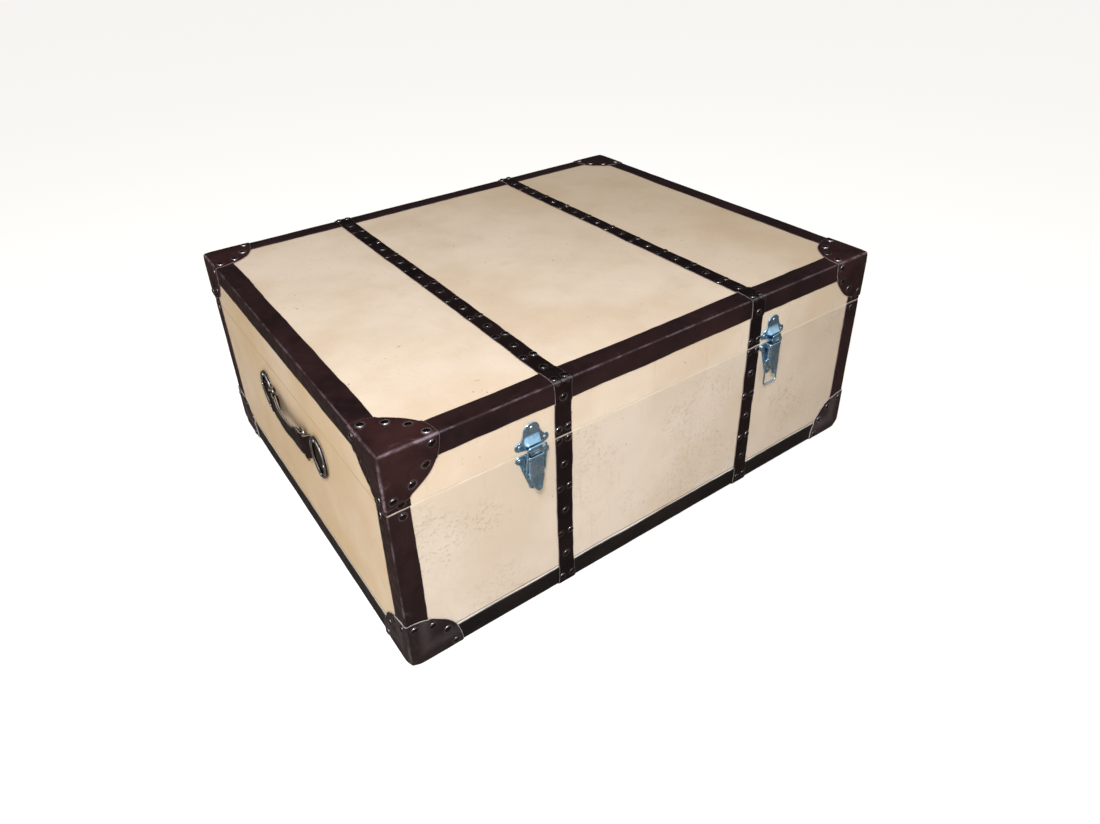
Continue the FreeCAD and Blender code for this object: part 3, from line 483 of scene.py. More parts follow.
def wood_paint(name, light, dark, ends=None):
    """ends is the colour that the wood has at the box's two ends."""
    paint = Paint(name)
    rings = paint.clouds(1.0, 4.0, 0.6, paint.stretched((1.6, 34.0, 34.0)), 1.2) * 9.0
    fibres = paint.clouds(1.0, 3.0, 0.7, paint.stretched((18.0, 420.0, 420.0)))
    knots = paint.cells(6.5, paint.stretched((0.7, 1.6, 1.6)))
    grain = paint.band(rings.math("FRACT", rings), 0.1, 0.55, 0.95)
    colour = paint.layers(
        light,
        (dark, grain * 0.6),
        (dark, paint.steps(fibres, 0.5, 0.75, 0.0, 0.35)),
        ((92, 56, 28), paint.steps(knots, 0.05, 0.1, 0.75, 0.0)),
    )
    if ends:
        at_end = paint.steps(abs(paint.axes()[0]), BOX_END - 2 * MM, BOX_END - MM)
        colour = paint.mix(colour, ends, at_end)
    return paint.finish(colour, paint.steps(fibres, 0.3, 0.7, 0.55, 0.75), paint.bump(fibres, 0.2 * MM))


NAIL_BRONZE = nail_paint()
LATCH_STEEL = metal_paint("blue zinc steel", (182, 217, 240), (140, 186, 216), (0.2, 0.34),
                          0.18, (96, 128, 152), soil=0.3)
# its hollow colour is painted shade in the low groove of the handle rims
HANDLE_STEEL = metal_paint("handle steel", (212, 212, 206), (150, 146, 138), (0.2, 0.38),
                           0.25, hollow=(34, 27, 25))
HINGE_STEEL = metal_paint("hinge steel", (182, 182, 180), (158, 156, 152), (0.3, 0.44),
                          0.12, (92, 78, 64), soil=0.35)
WIRE_STEEL = metal_paint("wire steel", (206, 210, 212), (146, 148, 148), (0.18, 0.32),
                         0.1, (70, 64, 60))
SCREW_STEEL = metal_paint("nail steel", (226, 234, 240), (186, 198, 208), (0.14, 0.26), 0.1)
PINE = wood_paint("planed pine", (222, 186, 136), (172, 126, 78))
RIM_WOOD = wood_paint("pale rim", (240, 230, 212), (214, 200, 178), (206, 176, 132))
print("painted", [paint.name for paint in bpy.data.materials][-8:])

# %% [markdown]
# ## Wrapping a piece round the box
# Canvas and leather follow the box, so both are drawn flat on a sharp-edged box first: a grid of
# points on its faces. `wrap` then rounds the box's edges and lifts each point off the surface by
# its own amount. Modelling each piece in place by hand would work too, but this way one function
# gives every fold, and a dent round a nail is only a smaller lift.

# %% Wrap
canvas_low, canvas_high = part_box("lid_canvas")
BOX_LOW = np.array([canvas_low.x, canvas_low.y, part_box("base_canvas")[0].z])
BOX_HIGH = np.array(canvas_high)
LID_BOTTOM = canvas_low.z
FOLD = 2.0 * MM                     # radius of the canvas at the box's edges
FOLD_STEPS = np.array([0.0, 0.8, 1.4, 2.0, 3.0]) * MM
FAR_OFF = 99.0                      # millimetres, for points with no cut edge, fold or nail near them


def wrap(spots, lift, low, high):
    """Points on a sharp box become points that stand off the rounded box, and their outward ways."""
    core = np.clip(spots, low + FOLD, high - FOLD)
    ways = spots - core
    ways /= np.linalg.norm(ways, axis=1, keepdims=True)
    return core + ways * (FOLD + lift)[:, None], ways


def smooth(start, end, values):
    share = np.clip((values - start) / (end - start), 0, 1)
    return share * share * (3 - 2 * share)


def wobble(spots, size, seed):
    """Smooth random numbers, about -0.5 to 0.5, that change over the given size."""
    shift = Vector((seed * 7.31, seed * 3.7, seed * 1.9))
    return np.array([noise.noise(Vector(spot) / size + shift) for spot in spots])


def fold_distance(spots):
    """Millimetres from a point on the box's surface to the nearest edge of the box."""
    gaps = np.sort(np.concatenate([spots - BOX_LOW, BOX_HIGH - spots], axis=1), axis=1)
    return gaps[:, 1] / MM


print("box faces", BOX_LOW, BOX_HIGH)

# %% [markdown]
# ## Where the nails are
# The CAD model already has every nail in its place. A clean copy of its mesh is split into
# islands, one for each nail, and the box face that an island's middle is nearest to is the face
# that it was driven into. The leather needs these places for its dents, so they come first.

# %% Nail places
DOME = 2.6 * MM                     # height of a leather nail's head
SCREW_DOME = 1.7 * MM
WELD = 1e-6                         # points closer than this are one point


def islands_of(node):
    """Lowest and highest corner of each separate solid in a CAD node."""
    mesh = bmesh.new()
    mesh.from_mesh(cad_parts[node].data)
    bmesh.ops.remove_doubles(mesh, verts=mesh.verts, dist=WELD)
    left = set(mesh.verts)
    boxes = []
    for start in mesh.verts:
        if start not in left:
            continue
        left.remove(start)
        group = [start]
        for vert in group:
            for edge in vert.link_edges:
                other = edge.other_vert(vert)
                if other in left:
                    left.remove(other)
                    group.append(other)
        places = np.array([vert.co for vert in group])
        boxes.append((places.min(axis=0), places.max(axis=0)))
    mesh.free()
    return boxes


def seats_of(node, dome):
    """For each nail of a node: the point on the box's face, the outward way and the seat's height."""
    spots, ways, heights = [], [], []
    for low, high in islands_of(node):
        middle = (low + high) / 2
        gaps = np.concatenate([middle - BOX_LOW, BOX_HIGH - middle])
        face = int(np.argmin(gaps))
        axis = face % 3
        way = np.zeros(3)
        way[axis] = 1.0 if face > 2 else -1.0
        limit, tip = (BOX_HIGH, high) if face > 2 else (BOX_LOW, low)
        spot = middle.copy()
        spot[axis] = limit[axis]
        spots.append(spot)
        ways.append(way)
        heights.append(abs(tip[axis] - limit[axis]) - dome)
    return np.array(spots), np.array(ways), np.array(heights)


NAILS = {body: seats_of(body + "_nails", DOME) for body in ("base", "lid")}
print("nails", {body: len(seats[0]) for body, seats in NAILS.items()})

# %% [markdown]
# ## From a flat layout to a piece
# `skin` takes the patches of one piece, each a grid of points on the box with the distance to the
# cut edge, welds them, lifts them and gives them thickness with a Solidify modifier. It also
# stores the three numbers that the leather's wear reads.

# %% Skin
DENT = 0.75 * MM                    # how deep a nail pulls the leather in
DENT_REACH = 7.5                    # millimetres
LIFT_LIMIT = 4.0 * MM               # two layers of leather, the box's outermost face
END_STEPS = np.array([0.4, 1.2]) * MM


def bell(values, middle, reach):
    """1 at the middle, and next to nothing at twice the reach from it."""
    return np.exp(-((values - middle) / reach) ** 2)


def dent(nails):
    """How far the nails pull the leather in."""
    return -DENT * bell(nails, 0.0, DENT_REACH)


def nail_distance(spots, body):
    """Millimetres to the nearest nail's middle."""
    nearest = np.full(len(spots), FAR_OFF)
    for seat in NAILS[body][0]:
        nearest = np.minimum(nearest, np.linalg.norm(spots - seat, axis=1) / MM)
    return nearest


def over_binding(spots):
    """1 where the leather edge strips lie underneath, 0 on bare canvas."""
    return 1 - smooth(33.5, 38.5, fold_distance(spots))


def grid_quads(rows, columns, closed=False):
    """Faces of a grid numbered row by row. A closed grid joins its last column to its first."""
    index = np.arange(rows * columns).reshape(rows, columns)
    if closed:
        index = np.column_stack([index, index[:, 0]])
    return np.stack([index[:-1, :-1], index[1:, :-1], index[1:, 1:], index[:-1, 1:]], axis=-1).reshape(-1, 4)


def weld(patches):
    """The points of all patches without doubles, their distances to the cut edge, and the faces."""
    spots = np.concatenate([grid.reshape(-1, 3) for grid, _ in patches])
    edges = np.concatenate([edge.reshape(-1) for _, edge in patches])
    quads, start = [], 0
    for grid, _ in patches:
        quads.append(start + grid_quads(*grid.shape[:2]))
        start += grid.shape[0] * grid.shape[1]
    keys = np.round(spots / WELD).astype(np.int64)
    _, first, index = np.unique(keys, axis=0, return_index=True, return_inverse=True)
    return spots[first], edges[first], index.reshape(-1)[np.concatenate(quads)]


def store(mesh, kind="FLOAT", **marks):
    """Named numbers, or vectors, for each point of a mesh."""
    field = "value" if kind == "FLOAT" else "vector"
    for name, values in marks.items():
        layer = mesh.attributes.new(name, kind, "POINT")
        layer.data.foreach_set(field, np.asarray(values, np.float32).ravel())


def settle(piece, body, slot, *nodes):
    """Hang a finished piece on its body and hide the CAD nodes that it replaces."""
    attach(piece, body)
    if nodes:
        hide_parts(*nodes)
    return piece


def thicken(piece, thickness):
    solid = piece.modifiers.new("thickness", "SOLIDIFY")
    solid.thickness = thickness
    solid.offset = -1.0
    solid.use_even_offset = True


def skin(name, patches, relief, thickness, paint, body, box=None, inside=False):
    """One wrapped piece. relief(spots, edge_mm, nail_mm) gives each point's lift in metres."""
    low, high = box or (BOX_LOW, BOX_HIGH)
    spots, edges, quads = weld(patches)
    seam = BASE_TOP if body == "base" else LID_BOTTOM
    edges = np.minimum(edges, abs(spots[:, 2] - seam) / MM)
    nails = nail_distance(spots, body)
    places, ways = wrap(spots, np.minimum(relief(spots, edges, nails), LIFT_LIMIT), low, high)
    if inside:
        ways = -ways
    diagonal = places[quads[:, 2]] - places[quads[:, 0]]
    other = places[quads[:, 3]] - places[quads[:, 1]]
    wrong = np.einsum("ij,ij->i", np.cross(diagonal, other), ways[quads[:, 0]]) < 0
    quads[wrong] = quads[wrong][:, ::-1]
    piece = add_piece(name, places, quads, paint)
    store(piece.data, edge_mm=edges, fold_mm=fold_distance(spots), nail_mm=nails)
    thicken(piece, thickness)
    return piece


def stations(low, high, step, folds=()):
    """Places along a line: even steps, and closer ones at its ends and at each fold that lies on it."""
    count = max(2, round((high - low) / step) + 1)
    places = [*np.linspace(low, high, count), *(low + END_STEPS), *(high - END_STEPS)]
    for fold in folds:
        near = np.concatenate([fold - FOLD_STEPS, fold + FOLD_STEPS])
        places = [place for place in places if abs(place - fold) > FOLD_STEPS[-1] * 1.2] + list(near)
    kept = [place for place in places if low - 1e-9 <= place <= high + 1e-9]
    return np.unique(np.round(kept, 7))


print("skin ready")

# %% [markdown]
# ## The canvas covers
# The base has one canvas round its four sides, the lid one over its top and sides. A flat plane
# would look like card, so the cloth gets a very low swell and dips a little between its threads.

# %% Canvas covers
CLOTH = 1.2 * MM
CLOTH_STEP = 12 * MM


def face_grid(axis, value, first, second):
    """A grid on the face where the axis has that value."""
    others = [index for index in range(3) if index != axis]
    a, b = np.meshgrid(first, second, indexing="ij")
    grid = np.zeros(a.shape + (3,))
    grid[..., axis] = value
    grid[..., others[0]] = a
    grid[..., others[1]] = b
    return grid, np.full(a.shape, FAR_OFF)


def tray(low, high, base_z, top_z, closed, step=CLOTH_STEP):
    """Four side faces of a box between two heights, and its closing face at the height given."""
    xs = stations(low[0], high[0], step, (low[0], high[0]))
    ys = stations(low[1], high[1], step, (low[1], high[1]))
    zs = stations(base_z, top_z, step, () if closed is None else (closed,))
    patches = [face_grid(1, value, xs, zs) for value in (low[1], high[1])]
    patches += [face_grid(0, value, ys, zs) for value in (low[0], high[0])]
    if closed is not None:
        patches.append(face_grid(2, closed, xs, ys))
    return patches


def cloth_relief(spots, edges, nails):
    return -0.25 * MM * smooth(-0.3, 0.4, wobble(spots, 0.07, 3))


def make_canvas():
    made = []
    for body, base_z, top_z, closed in (("base", BOX_LOW[2], BASE_TOP, None),
                                        ("lid", LID_BOTTOM, BOX_HIGH[2], BOX_HIGH[2])):
        patches = tray(BOX_LOW, BOX_HIGH, base_z, top_z, closed)
        piece = skin(body + ".canvas", patches, cloth_relief, CLOTH, CANVAS, body)
        settle(piece, body, "canvas", body + "_canvas")
        made.append(piece)
    return made


base_canvas, lid_canvas = make_canvas()

# %% [markdown]
# ## Leather edge strips
# Every edge of the box has a strip of leather folded over it. The strips were cut by hand, so
# their edges wander a little, and the leather thins towards the cut. They run in under the
# corners, where nobody sees their ends.

# %% Edge strips
STRIP = 34.0 * MM
STRIP_LEATHER = 2.0 * MM
# Columns from the fold to the cut, as shares of a strip's width.
LEG = np.array([0, 0.8, 1.4, 2.0, 3.0, 5.0, 8.0, 12.0, 16.0, 20.0, 24.0, 28.0, 31.0, 33.0, 33.7, 34.0]) / 34
UNDER_CORNER = 52 * MM              # where a strip ends, from the box's corner


def hand_cut(along, seed):
    """How far a hand-cut edge strays from its line, in metres."""
    line = np.stack([along, np.zeros_like(along), np.zeros_like(along)], axis=1)
    return wobble(line, 0.11, seed) * 1.9 * MM + wobble(line, 0.023, seed + 5) * 0.9 * MM


def strip_patch(axis, signs, low, high, seed):
    """A strip folded over the box edge that runs along the axis. signs pick which of the four edges."""
    others = [index for index in range(3) if index != axis]
    limits = {1: BOX_HIGH, -1: BOX_LOW}
    along = stations(low, high, 7 * MM)
    grid = np.zeros((len(along), 2 * len(LEG) - 1, 3))
    edge = np.zeros(grid.shape[:2])
    grid[..., axis] = along[:, None]
    for leg in (0, 1):
        moving, still = others[leg], others[1 - leg]
        wide = STRIP + hand_cut(along, seed + leg * 11)
        reach = wide[:, None] * LEG
        columns = slice(len(LEG) - 1, None) if leg else slice(len(LEG) - 1, None, -1)
        sign_moving, sign_still = signs[leg], signs[1 - leg]
        grid[:, columns, moving] = limits[sign_moving][moving] - sign_moving * reach
        grid[:, columns, still] = limits[sign_still][still]
        edge[:, columns] = (wide[:, None] - reach) / MM
    return grid, edge


def strip_relief(spots, edges, nails):
    thin = -1.0 * MM * np.exp(-edges / 1.4)
    swell = 0.35 * MM * wobble(spots, 0.045, 21) + 0.2 * MM * wobble(spots, 0.013, 22)
    return STRIP_LEATHER + thin + np.minimum(swell, 0.12 * MM) + dent(nails)


def long_strips(side_z, seed):
    x, y = BOX_HIGH[:2] - UNDER_CORNER
    patches = [strip_patch(0, (side, side_z), -x, x, seed + 3 * side) for side in (-1, 1)]
    patches += [strip_patch(1, (side, side_z), -y, y, seed + 40 + 3 * side) for side in (-1, 1)]
    return patches


def upright_strips(low, high, seed):
    return [strip_patch(2, (side_x, side_y), low, high, seed + 5 * side_x + side_y)
            for side_x in (-1, 1) for side_y in (-1, 1)]


def make_strips():
    jobs = [
        ("base.foot_strips", long_strips(-1, 100), FOOT_LEATHER, "base", "base_long_bindings"),
        ("base.upright_strips", upright_strips(UNDER_CORNER, BASE_TOP, 200), LEATHER, "base",
         "base_edge_bindings"),
        ("lid.top_strips", long_strips(1, 300), LEATHER, "lid", "lid_long_bindings"),
        ("lid.upright_strips", upright_strips(LID_BOTTOM, BOX_HIGH[2] - UNDER_CORNER, 400), LEATHER,
         "lid", "lid_edge_bindings"),
    ]
    for name, patches, paint, body, node in jobs:
        piece = skin(name, patches, strip_relief, STRIP_LEATHER, paint, body)
        settle(piece, body, "leather", node)
        print(name, len(piece.data.polygons), "faces")


make_strips()

# %% [markdown]
# ## Leather corners
# A corner is one piece of leather moulded over three faces, with a round lobe on each. Its lobe
# lies on the strips next to the edges and drops to the canvas beyond them. The feet are worn rounder
# at the tip than the top corners, and moulding left a shallow hollow across each lobe. A round
# grid would have slivers at its pole, so a square grid is bent to a quarter disc instead.

# %% Corners
LOBE = 86.5 * MM                    # from the canvas corner to the arc
LOBE_STEP = 3.4 * MM


def lobe_patch(axis, signs, seed):
    """A quarter disc on the face across the axis, at the box corner that the signs give."""
    corner = np.where(np.array(signs) > 0, BOX_HIGH, BOX_LOW)
    share = stations(0.0, LOBE, LOBE_STEP, (0.0,)) / LOBE
    u, v = np.meshgrid(share, share, indexing="ij")
    a = u * np.sqrt(1 - v * v / 2)
    b = v * np.sqrt(1 - u * u / 2)
    round_trip = np.arctan2(b, a)
    ripple = 1 + 0.012 * np.sin(round_trip * 7 + seed) * np.sin(round_trip * 2)
    others = [index for index in range(3) if index != axis]
    grid = np.zeros(u.shape + (3,))
    grid[..., axis] = corner[axis]
    grid[..., others[0]] = corner[others[0]] - signs[others[0]] * a * LOBE * ripple
    grid[..., others[1]] = corner[others[1]] - signs[others[1]] * b * LOBE * ripple
    return grid, (1 - np.hypot(a, b)) * LOBE / MM


def corner_relief(spots, edges, nails):
    height = STRIP_LEATHER * (1 + over_binding(spots))
    gaps = np.minimum(spots - BOX_LOW, BOX_HIGH - spots)
    from_tip = np.linalg.norm(gaps, axis=1) / MM
    at_foot = spots[:, 2] < BASE_TOP
    tip = np.where(at_foot, 3.4, 0.8) * MM * bell(from_tip, 0.0, 8.5)
    hollow = np.where(at_foot, 1.3, 0.35) * MM * bell(from_tip, 42.0, 14.0)
    thin = -0.9 * MM * np.exp(-edges / 1.6)
    swell = 0.3 * MM * wobble(spots, 0.03, 31)
    pucker = 0.45 * MM * wobble(spots, 0.011, 32) * bell(edges, 0.0, 16)
    off_fold = np.where(fold_distance(spots) < 6, 0.0, 1.0)
    uneven = np.minimum((swell + pucker) * off_fold, 0.1 * MM)
    return height + thin + uneven + dent(nails) - tip - hollow * off_fold


def make_corners():
    for body, side_z, paint in (("lid", 1, CORNER_LEATHER), ("base", -1, FOOT_CORNER_LEATHER)):
        for y_name, side_y in (("front", -1), ("back", 1)):
            for x_name, side_x in (("left", -1), ("right", 1)):
                signs = (side_x, side_y, side_z)
                patches = [lobe_patch(axis, signs, axis + side_x + 2 * side_y) for axis in range(3)]
                name = f"{body}.corner_{y_name}_{x_name}"
                piece = skin(name, patches, corner_relief, STRIP_LEATHER, paint, body)
                settle(piece, body, "leather", f"{body}_corner_{y_name}_{x_name}")
    print("corner faces", len(piece.data.polygons))


make_corners()

# %% [markdown]
# ## Straps
# Two straps cross the trunk. On the lid each is one length, up the front, over the top and down
# the back; on the base they turn in under the bottom. A strap climbs onto the edge strips, gets
# a little wider where it is pulled over the top edge, and sinks at every nail.

# %% Straps
STRAP = 31.0 * MM
STRAP_STEP = 3.2 * MM
STRAP_TURN = 30 * MM                # how far a base strap goes under the box
# Columns from one cut to the other, as shares of half a strap's width.
ACROSS = np.array([-1, -0.975, -0.92, -0.8, -0.62, -0.42, -0.2, 0, 0.2, 0.42, 0.62, 0.8, 0.92, 0.975, 1])


def strap_patch(middle_x, corners, seed):
    """A strap along a path of (y, z) corners, with a fold at each inner one."""
    corners = np.array(corners)
    runs = np.linalg.norm(np.diff(corners, axis=0), axis=1)
    marks = np.concatenate([[0.0], np.cumsum(runs)])
    along = stations(0.0, marks[-1], STRAP_STEP, marks[1:-1])
    y, z = (np.interp(along, marks, corners[:, axis]) for axis in (0, 1))
    half = STRAP / 2 + np.zeros_like(along)
    for mark in marks[1:-1]:
        half += 1.5 * MM * bell(along, mark, 0.012)
    left = half + hand_cut(along, seed) * 0.8
    right = half + hand_cut(along, seed + 17) * 0.8
    sway = hand_cut(along * 0.5, seed + 31) * 0.6
    grid = np.zeros((len(along), len(ACROSS), 3))
    grid[..., 0] = middle_x + sway[:, None] + np.where(ACROSS < 0, left[:, None], right[:, None]) * ACROSS
    grid[..., 1] = y[:, None]
    grid[..., 2] = z[:, None]
    edge = np.where(ACROSS < 0, left[:, None], right[:, None]) * (1 - abs(ACROSS)) / MM
    return grid, edge


def strap_relief(spots, edges, nails):
    height = STRIP_LEATHER * (1 + over_binding(spots))
    thin = -0.85 * MM * np.exp(-edges / 1.3)
    swell = 0.5 * MM * wobble(spots, 0.022, 41)
    return height + thin + np.minimum(swell, 0.15 * MM) + dent(nails)


def middle_of(node):
    """Where a CAD node's middle is along the front."""
    low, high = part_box(node)
    return (low.x + high.x) / 2


def make_straps():
    front, rear = BOX_LOW[1], BOX_HIGH[1]
    for side, seed in (("left", 500), ("right", 560)):
        middle_x = middle_of("lid_strap_" + side)
        over = [(front, LID_BOTTOM), (front, BOX_HIGH[2]), (rear, BOX_HIGH[2]), (rear, LID_BOTTOM)]
        piece = skin("lid.strap_" + side, [strap_patch(middle_x, over, seed)], strap_relief,
                     STRIP_LEATHER, STRAP_LEATHER, "lid")
        settle(piece, "lid", "leather", "lid_strap_" + side)
        downs = []
        for face, inward in ((front, 1), (rear, -1)):
            path = [(face, BASE_TOP), (face, BOX_LOW[2]), (face + inward * STRAP_TURN, BOX_LOW[2])]
            downs.append(strap_patch(middle_x, path, seed + 20 + inward))
        piece = skin("base.strap_" + side, downs, strap_relief, STRIP_LEATHER, STRAP_LEATHER, "base")
        settle(piece, "base", "leather", "base_strap_" + side)
        print("strap", side, "at x", round(middle_x, 4))


make_straps()

# %% [markdown]
# ## Nails by geometry nodes
# More than two hundred nails share one shape, which is what instances are for. The tree takes
# points that carry an outward way, puts a flattened ball on each, turns it to that way with a
# small random tilt, and makes the copies real. The export drops live instances, so the result is
# baked to one plain mesh for each body.

# %% Row tree


def row_tree():
    """A tree that sets a rounded head on every point. Its sizes, seed and material are inputs."""
    tree = bpy.data.node_groups.new("rounded heads", "GeometryNodeTree")
    face = tree.interface
    for name, kind in (("Geometry", "Geometry"), ("Half Length", "Float"), ("Half Width", "Float"),
                       ("Height", "Float"), ("Segments", "Int"), ("Rings", "Int"), ("Tilt", "Float"),
                       ("Seed", "Int"), ("Material", "Material")):
        face.new_socket(name, in_out="INPUT", socket_type="NodeSocket" + kind)
    face.new_socket("Geometry", in_out="OUTPUT", socket_type="NodeSocketGeometry")
    graph = Graph(tree)
    given = graph.node("NodeGroupInput")
    seed = given["Seed"]
    ball = graph.node("GeometryNodeMeshUVSphere",
                      {"Segments": given["Segments"], "Rings": given["Rings"], "Radius": 1.0})
    level = graph.node("ShaderNodeSeparateXYZ", {0: graph.node("GeometryNodeInputPosition")}, "Z")
    ball = graph.node("GeometryNodeStoreNamedAttribute", {"Geometry": ball, "Name": "rise", "Value": level},
                      data_type="FLOAT", domain="POINT")
    size = graph.node("ShaderNodeCombineXYZ",
                      {0: given["Half Length"], 1: given["Half Width"], 2: given["Height"]})
    head = graph.node("GeometryNodeTransform", {"Geometry": ball, "Scale": size})
    way, run = (graph.node("GeometryNodeInputNamedAttribute", {"Name": name}, data_type="FLOAT_VECTOR")
                for name in ("outward", "along"))
    back, forth = (graph.node("ShaderNodeVectorMath", {0: (most, most, most), "Scale": given["Tilt"]},
                              operation="SCALE") for most in (-1.0, 1.0))
    stray = graph.node("FunctionNodeRandomValue", {0: back, 1: forth, "Seed": seed},
                       data_type="FLOAT_VECTOR")
    way = graph.node("ShaderNodeVectorMath", {0: way, 1: stray}, operation="ADD")
    facing = graph.node("FunctionNodeAlignRotationToVector", {"Vector": way}, axis="Z")
    facing = graph.node("FunctionNodeAlignRotationToVector", {"Rotation": facing, "Vector": run},
                        axis="X", pivot_axis="Z")
    spread = graph.node("FunctionNodeRandomValue", {2: 0.96, 3: 1.04, "Seed": seed}, 1, data_type="FLOAT")
    heads = graph.node("GeometryNodeInstanceOnPoints",
                       {"Points": given, "Instance": head, "Rotation": facing, "Scale": spread})
    real = graph.node("GeometryNodeRealizeInstances", {"Geometry": heads})
    round_off = graph.node("GeometryNodeSetShadeSmooth", {"Geometry": real})
    done = graph.node("GeometryNodeSetMaterial", {"Geometry": round_off, "Material": given["Material"]})
    graph.node("NodeGroupOutput", {"Geometry": done})
    return tree


ROWS = row_tree()


def set_rows(name, places, ways, runs, sizes, paint, tilt=0.0, seed=1, mesh_steps=(14, 7)):
    """Bake a rounded head on each place. sizes are half length, half width and height."""
    ways = ways / np.linalg.norm(ways, axis=1, keepdims=True)
    points = bpy.data.meshes.new(name)
    points.from_pydata([tuple(place) for place in places], [], [])
    store(points, "FLOAT_VECTOR", outward=ways, along=runs)
    holder = show(name, points)
    live = holder.modifiers.new("rows", "NODES")
    live.node_group = ROWS
    values = {"Half Length": sizes[0], "Half Width": sizes[1], "Height": sizes[2], "Segments": mesh_steps[0],
              "Rings": mesh_steps[1], "Tilt": tilt, "Seed": seed, "Material": paint}
    for item in ROWS.interface.items_tree:
        if item.in_out == "INPUT" and item.name in values:
            live[item.identifier] = values[item.name]
    bpy.context.view_layer.update()
    graph = bpy.context.evaluated_depsgraph_get()
    baked = bpy.data.meshes.new_from_object(holder.evaluated_get(graph))
    baked.name = name
    bpy.data.objects.remove(holder)
    return show(name, baked)


def runs_for(ways):
    """Any direction across each outward way."""
    return np.stack([ways[:, 1] + ways[:, 2], ways[:, 0], np.zeros(len(ways))], axis=1)


print("row tree has", len(ROWS.nodes), "nodes")

# %% [markdown]
# ## Setting the nails
# A nail's head sits in its own dent. Between the edge strips and on a strap the leather is one
# layer thick and over a strip it is two, so the lower of that height and the CAD's seat is used.

# %% Leather nails
HEAD_RADIUS = 6.0 * MM
SUNK = 0.35 * MM


def make_nails():
    for body, seed in (("base", 3), ("lid", 4)):
        spots, ways, heights = NAILS[body]
        layer = STRIP_LEATHER * (1 + over_binding(spots))
        seat = np.minimum(heights, layer) - SUNK
        piece = set_rows(body + ".nails", spots + ways * seat[:, None], ways, runs_for(ways),
                         (HEAD_RADIUS, HEAD_RADIUS, DOME), NAIL_BRONZE, 0.07, seed)
        settle(piece, body, "nail_bronze", body + "_nails")
        print(piece.name, len(piece.data.polygons), "faces")


make_nails()

# %% [markdown]
# ## Sheet metal
# The latches are pressed from thin sheet. Such a piece is an outline in its own flat plane, filled
# with a grid of points, and a rule for how far each point is pressed out. A Delaunay
# triangulation fits the grid to the outline, which a plain grid can't follow.

# %% Pressed sheets
SEAM = BASE_TOP + 1.0 * MM
FRONT = BOX_LOW[1]
SHEET = 1.3 * MM


def arc(centre, radius, start, end, count=9):
    angles = np.radians(np.linspace(start, end, count))
    return [(centre[0] + radius * math.cos(angle), centre[1] + radius * math.sin(angle)) for angle in angles]


def sway_curve(start, pull, end, count=6):
    """Points of a smooth curve from start to end, drawn towards pull, without its two ends."""
    start, pull, end = (np.array(point) for point in (start, pull, end))
    shares = np.linspace(0, 1, count + 2)[1:-1]
    return [tuple((1 - t) ** 2 * start + 2 * t * (1 - t) * pull + t * t * end) for t in shares]


def both_halves(half):
    """A closed outline from its right half, which starts and ends near the middle."""
    return half + [(-u, v) for u, v in reversed(half) if abs(u) > 1e-9]


def outline_distance(points, outline):
    nearest = np.full(len(points), np.inf)
    for start, end in zip(outline, np.roll(outline, -1, axis=0)):
        run = end - start
        share = np.clip(((points - start) @ run) / (run @ run), 0, 1)
        nearest = np.minimum(nearest, np.linalg.norm(points - start - share[:, None] * run, axis=1))
    return nearest


def densify(outline, step):
    ring = []
    for start, end in zip(outline, outline[1:] + outline[:1]):
        start, end = np.array(start), np.array(end)
        count = max(1, round(np.linalg.norm(end - start) / step))
        ring += [start + (end - start) * index / count for index in range(count)]
    return np.array(ring)


def pressed(outline, rule, step=1.2 * MM):
    """Places (u, v, height) and triangles of a pressed sheet. rule(u, v, edge) gives the height."""
    ring = densify(outline, step)
    low, high = ring.min(axis=0), ring.max(axis=0)
    grid = np.stack(np.meshgrid(np.arange(low[0], high[0], step), np.arange(low[1], high[1], step)), -1)
    grid = grid.reshape(-1, 2)
    grid = grid[outline_distance(grid, ring) > 0.55 * step]
    points = np.concatenate([ring, grid])
    edges = [(index, (index + 1) % len(ring)) for index in range(len(ring))]
    found = geometry.delaunay_2d_cdt([Vector(point) for point in points], edges, [], 1, 1e-9)
    flat, faces = np.array([tuple(point) for point in found[0]]), [list(face) for face in found[2]]
    used = sorted({index for face in faces for index in face})
    number = {index: place for place, index in enumerate(used)}
    flat = flat[used]
    heights = rule(flat[:, 0], flat[:, 1], outline_distance(flat, ring))
    return np.column_stack([flat, heights]), [[number[index] for index in face] for face in faces]


def rolled(edge, depth=0.7 * MM, reach=0.7 * MM):
    """How far a sheet's rim turns back."""
    return -depth * np.exp(-edge / reach)


def joined(parts):
    """Several (places, faces, numbers) parts as one."""
    places, faces, numbers = [], [], []
    for spots, polygons, values in parts:
        faces += [[index + len(places) for index in polygon] for polygon in polygons]
        places += list(spots)
        numbers += list(values)
    return places, faces, numbers


def metal_piece(name, parts, thickness=SHEET):
    """One object from several (places, faces, outward way) parts. A part is turned as a whole."""
    turned = []
    for spots, polygons, way in parts:
        corners = spots[[[polygon[0], polygon[1], polygon[-1]] for polygon in polygons]]
        facing = np.cross(corners[:, 1] - corners[:, 0], corners[:, 2] - corners[:, 0]).sum(axis=0) @ way
        turned.append((spots, polygons if facing > 0 else [polygon[::-1] for polygon in polygons], ()))
    places, faces, _ = joined(turned)
    piece = add_piece(name, places, faces, LATCH_STEEL)
    clean = bmesh.new()
    clean.from_mesh(piece.data)
    bmesh.ops.remove_doubles(clean, verts=clean.verts, dist=WELD)
    bmesh.ops.dissolve_degenerate(clean, edges=clean.edges, dist=WELD / 10)
    clean.to_mesh(piece.data)
    clean.free()
    thicken(piece, thickness)
    return piece


def on_front(middle_x, spots):
    """(u, v, out) around a latch to x, y, z: v counts from the seam and out from the canvas."""
    spots = np.asarray(spots)
    return np.column_stack([middle_x + spots[:, 0], FRONT - spots[:, 2], SEAM + spots[:, 1]])


print("seam at", SEAM)

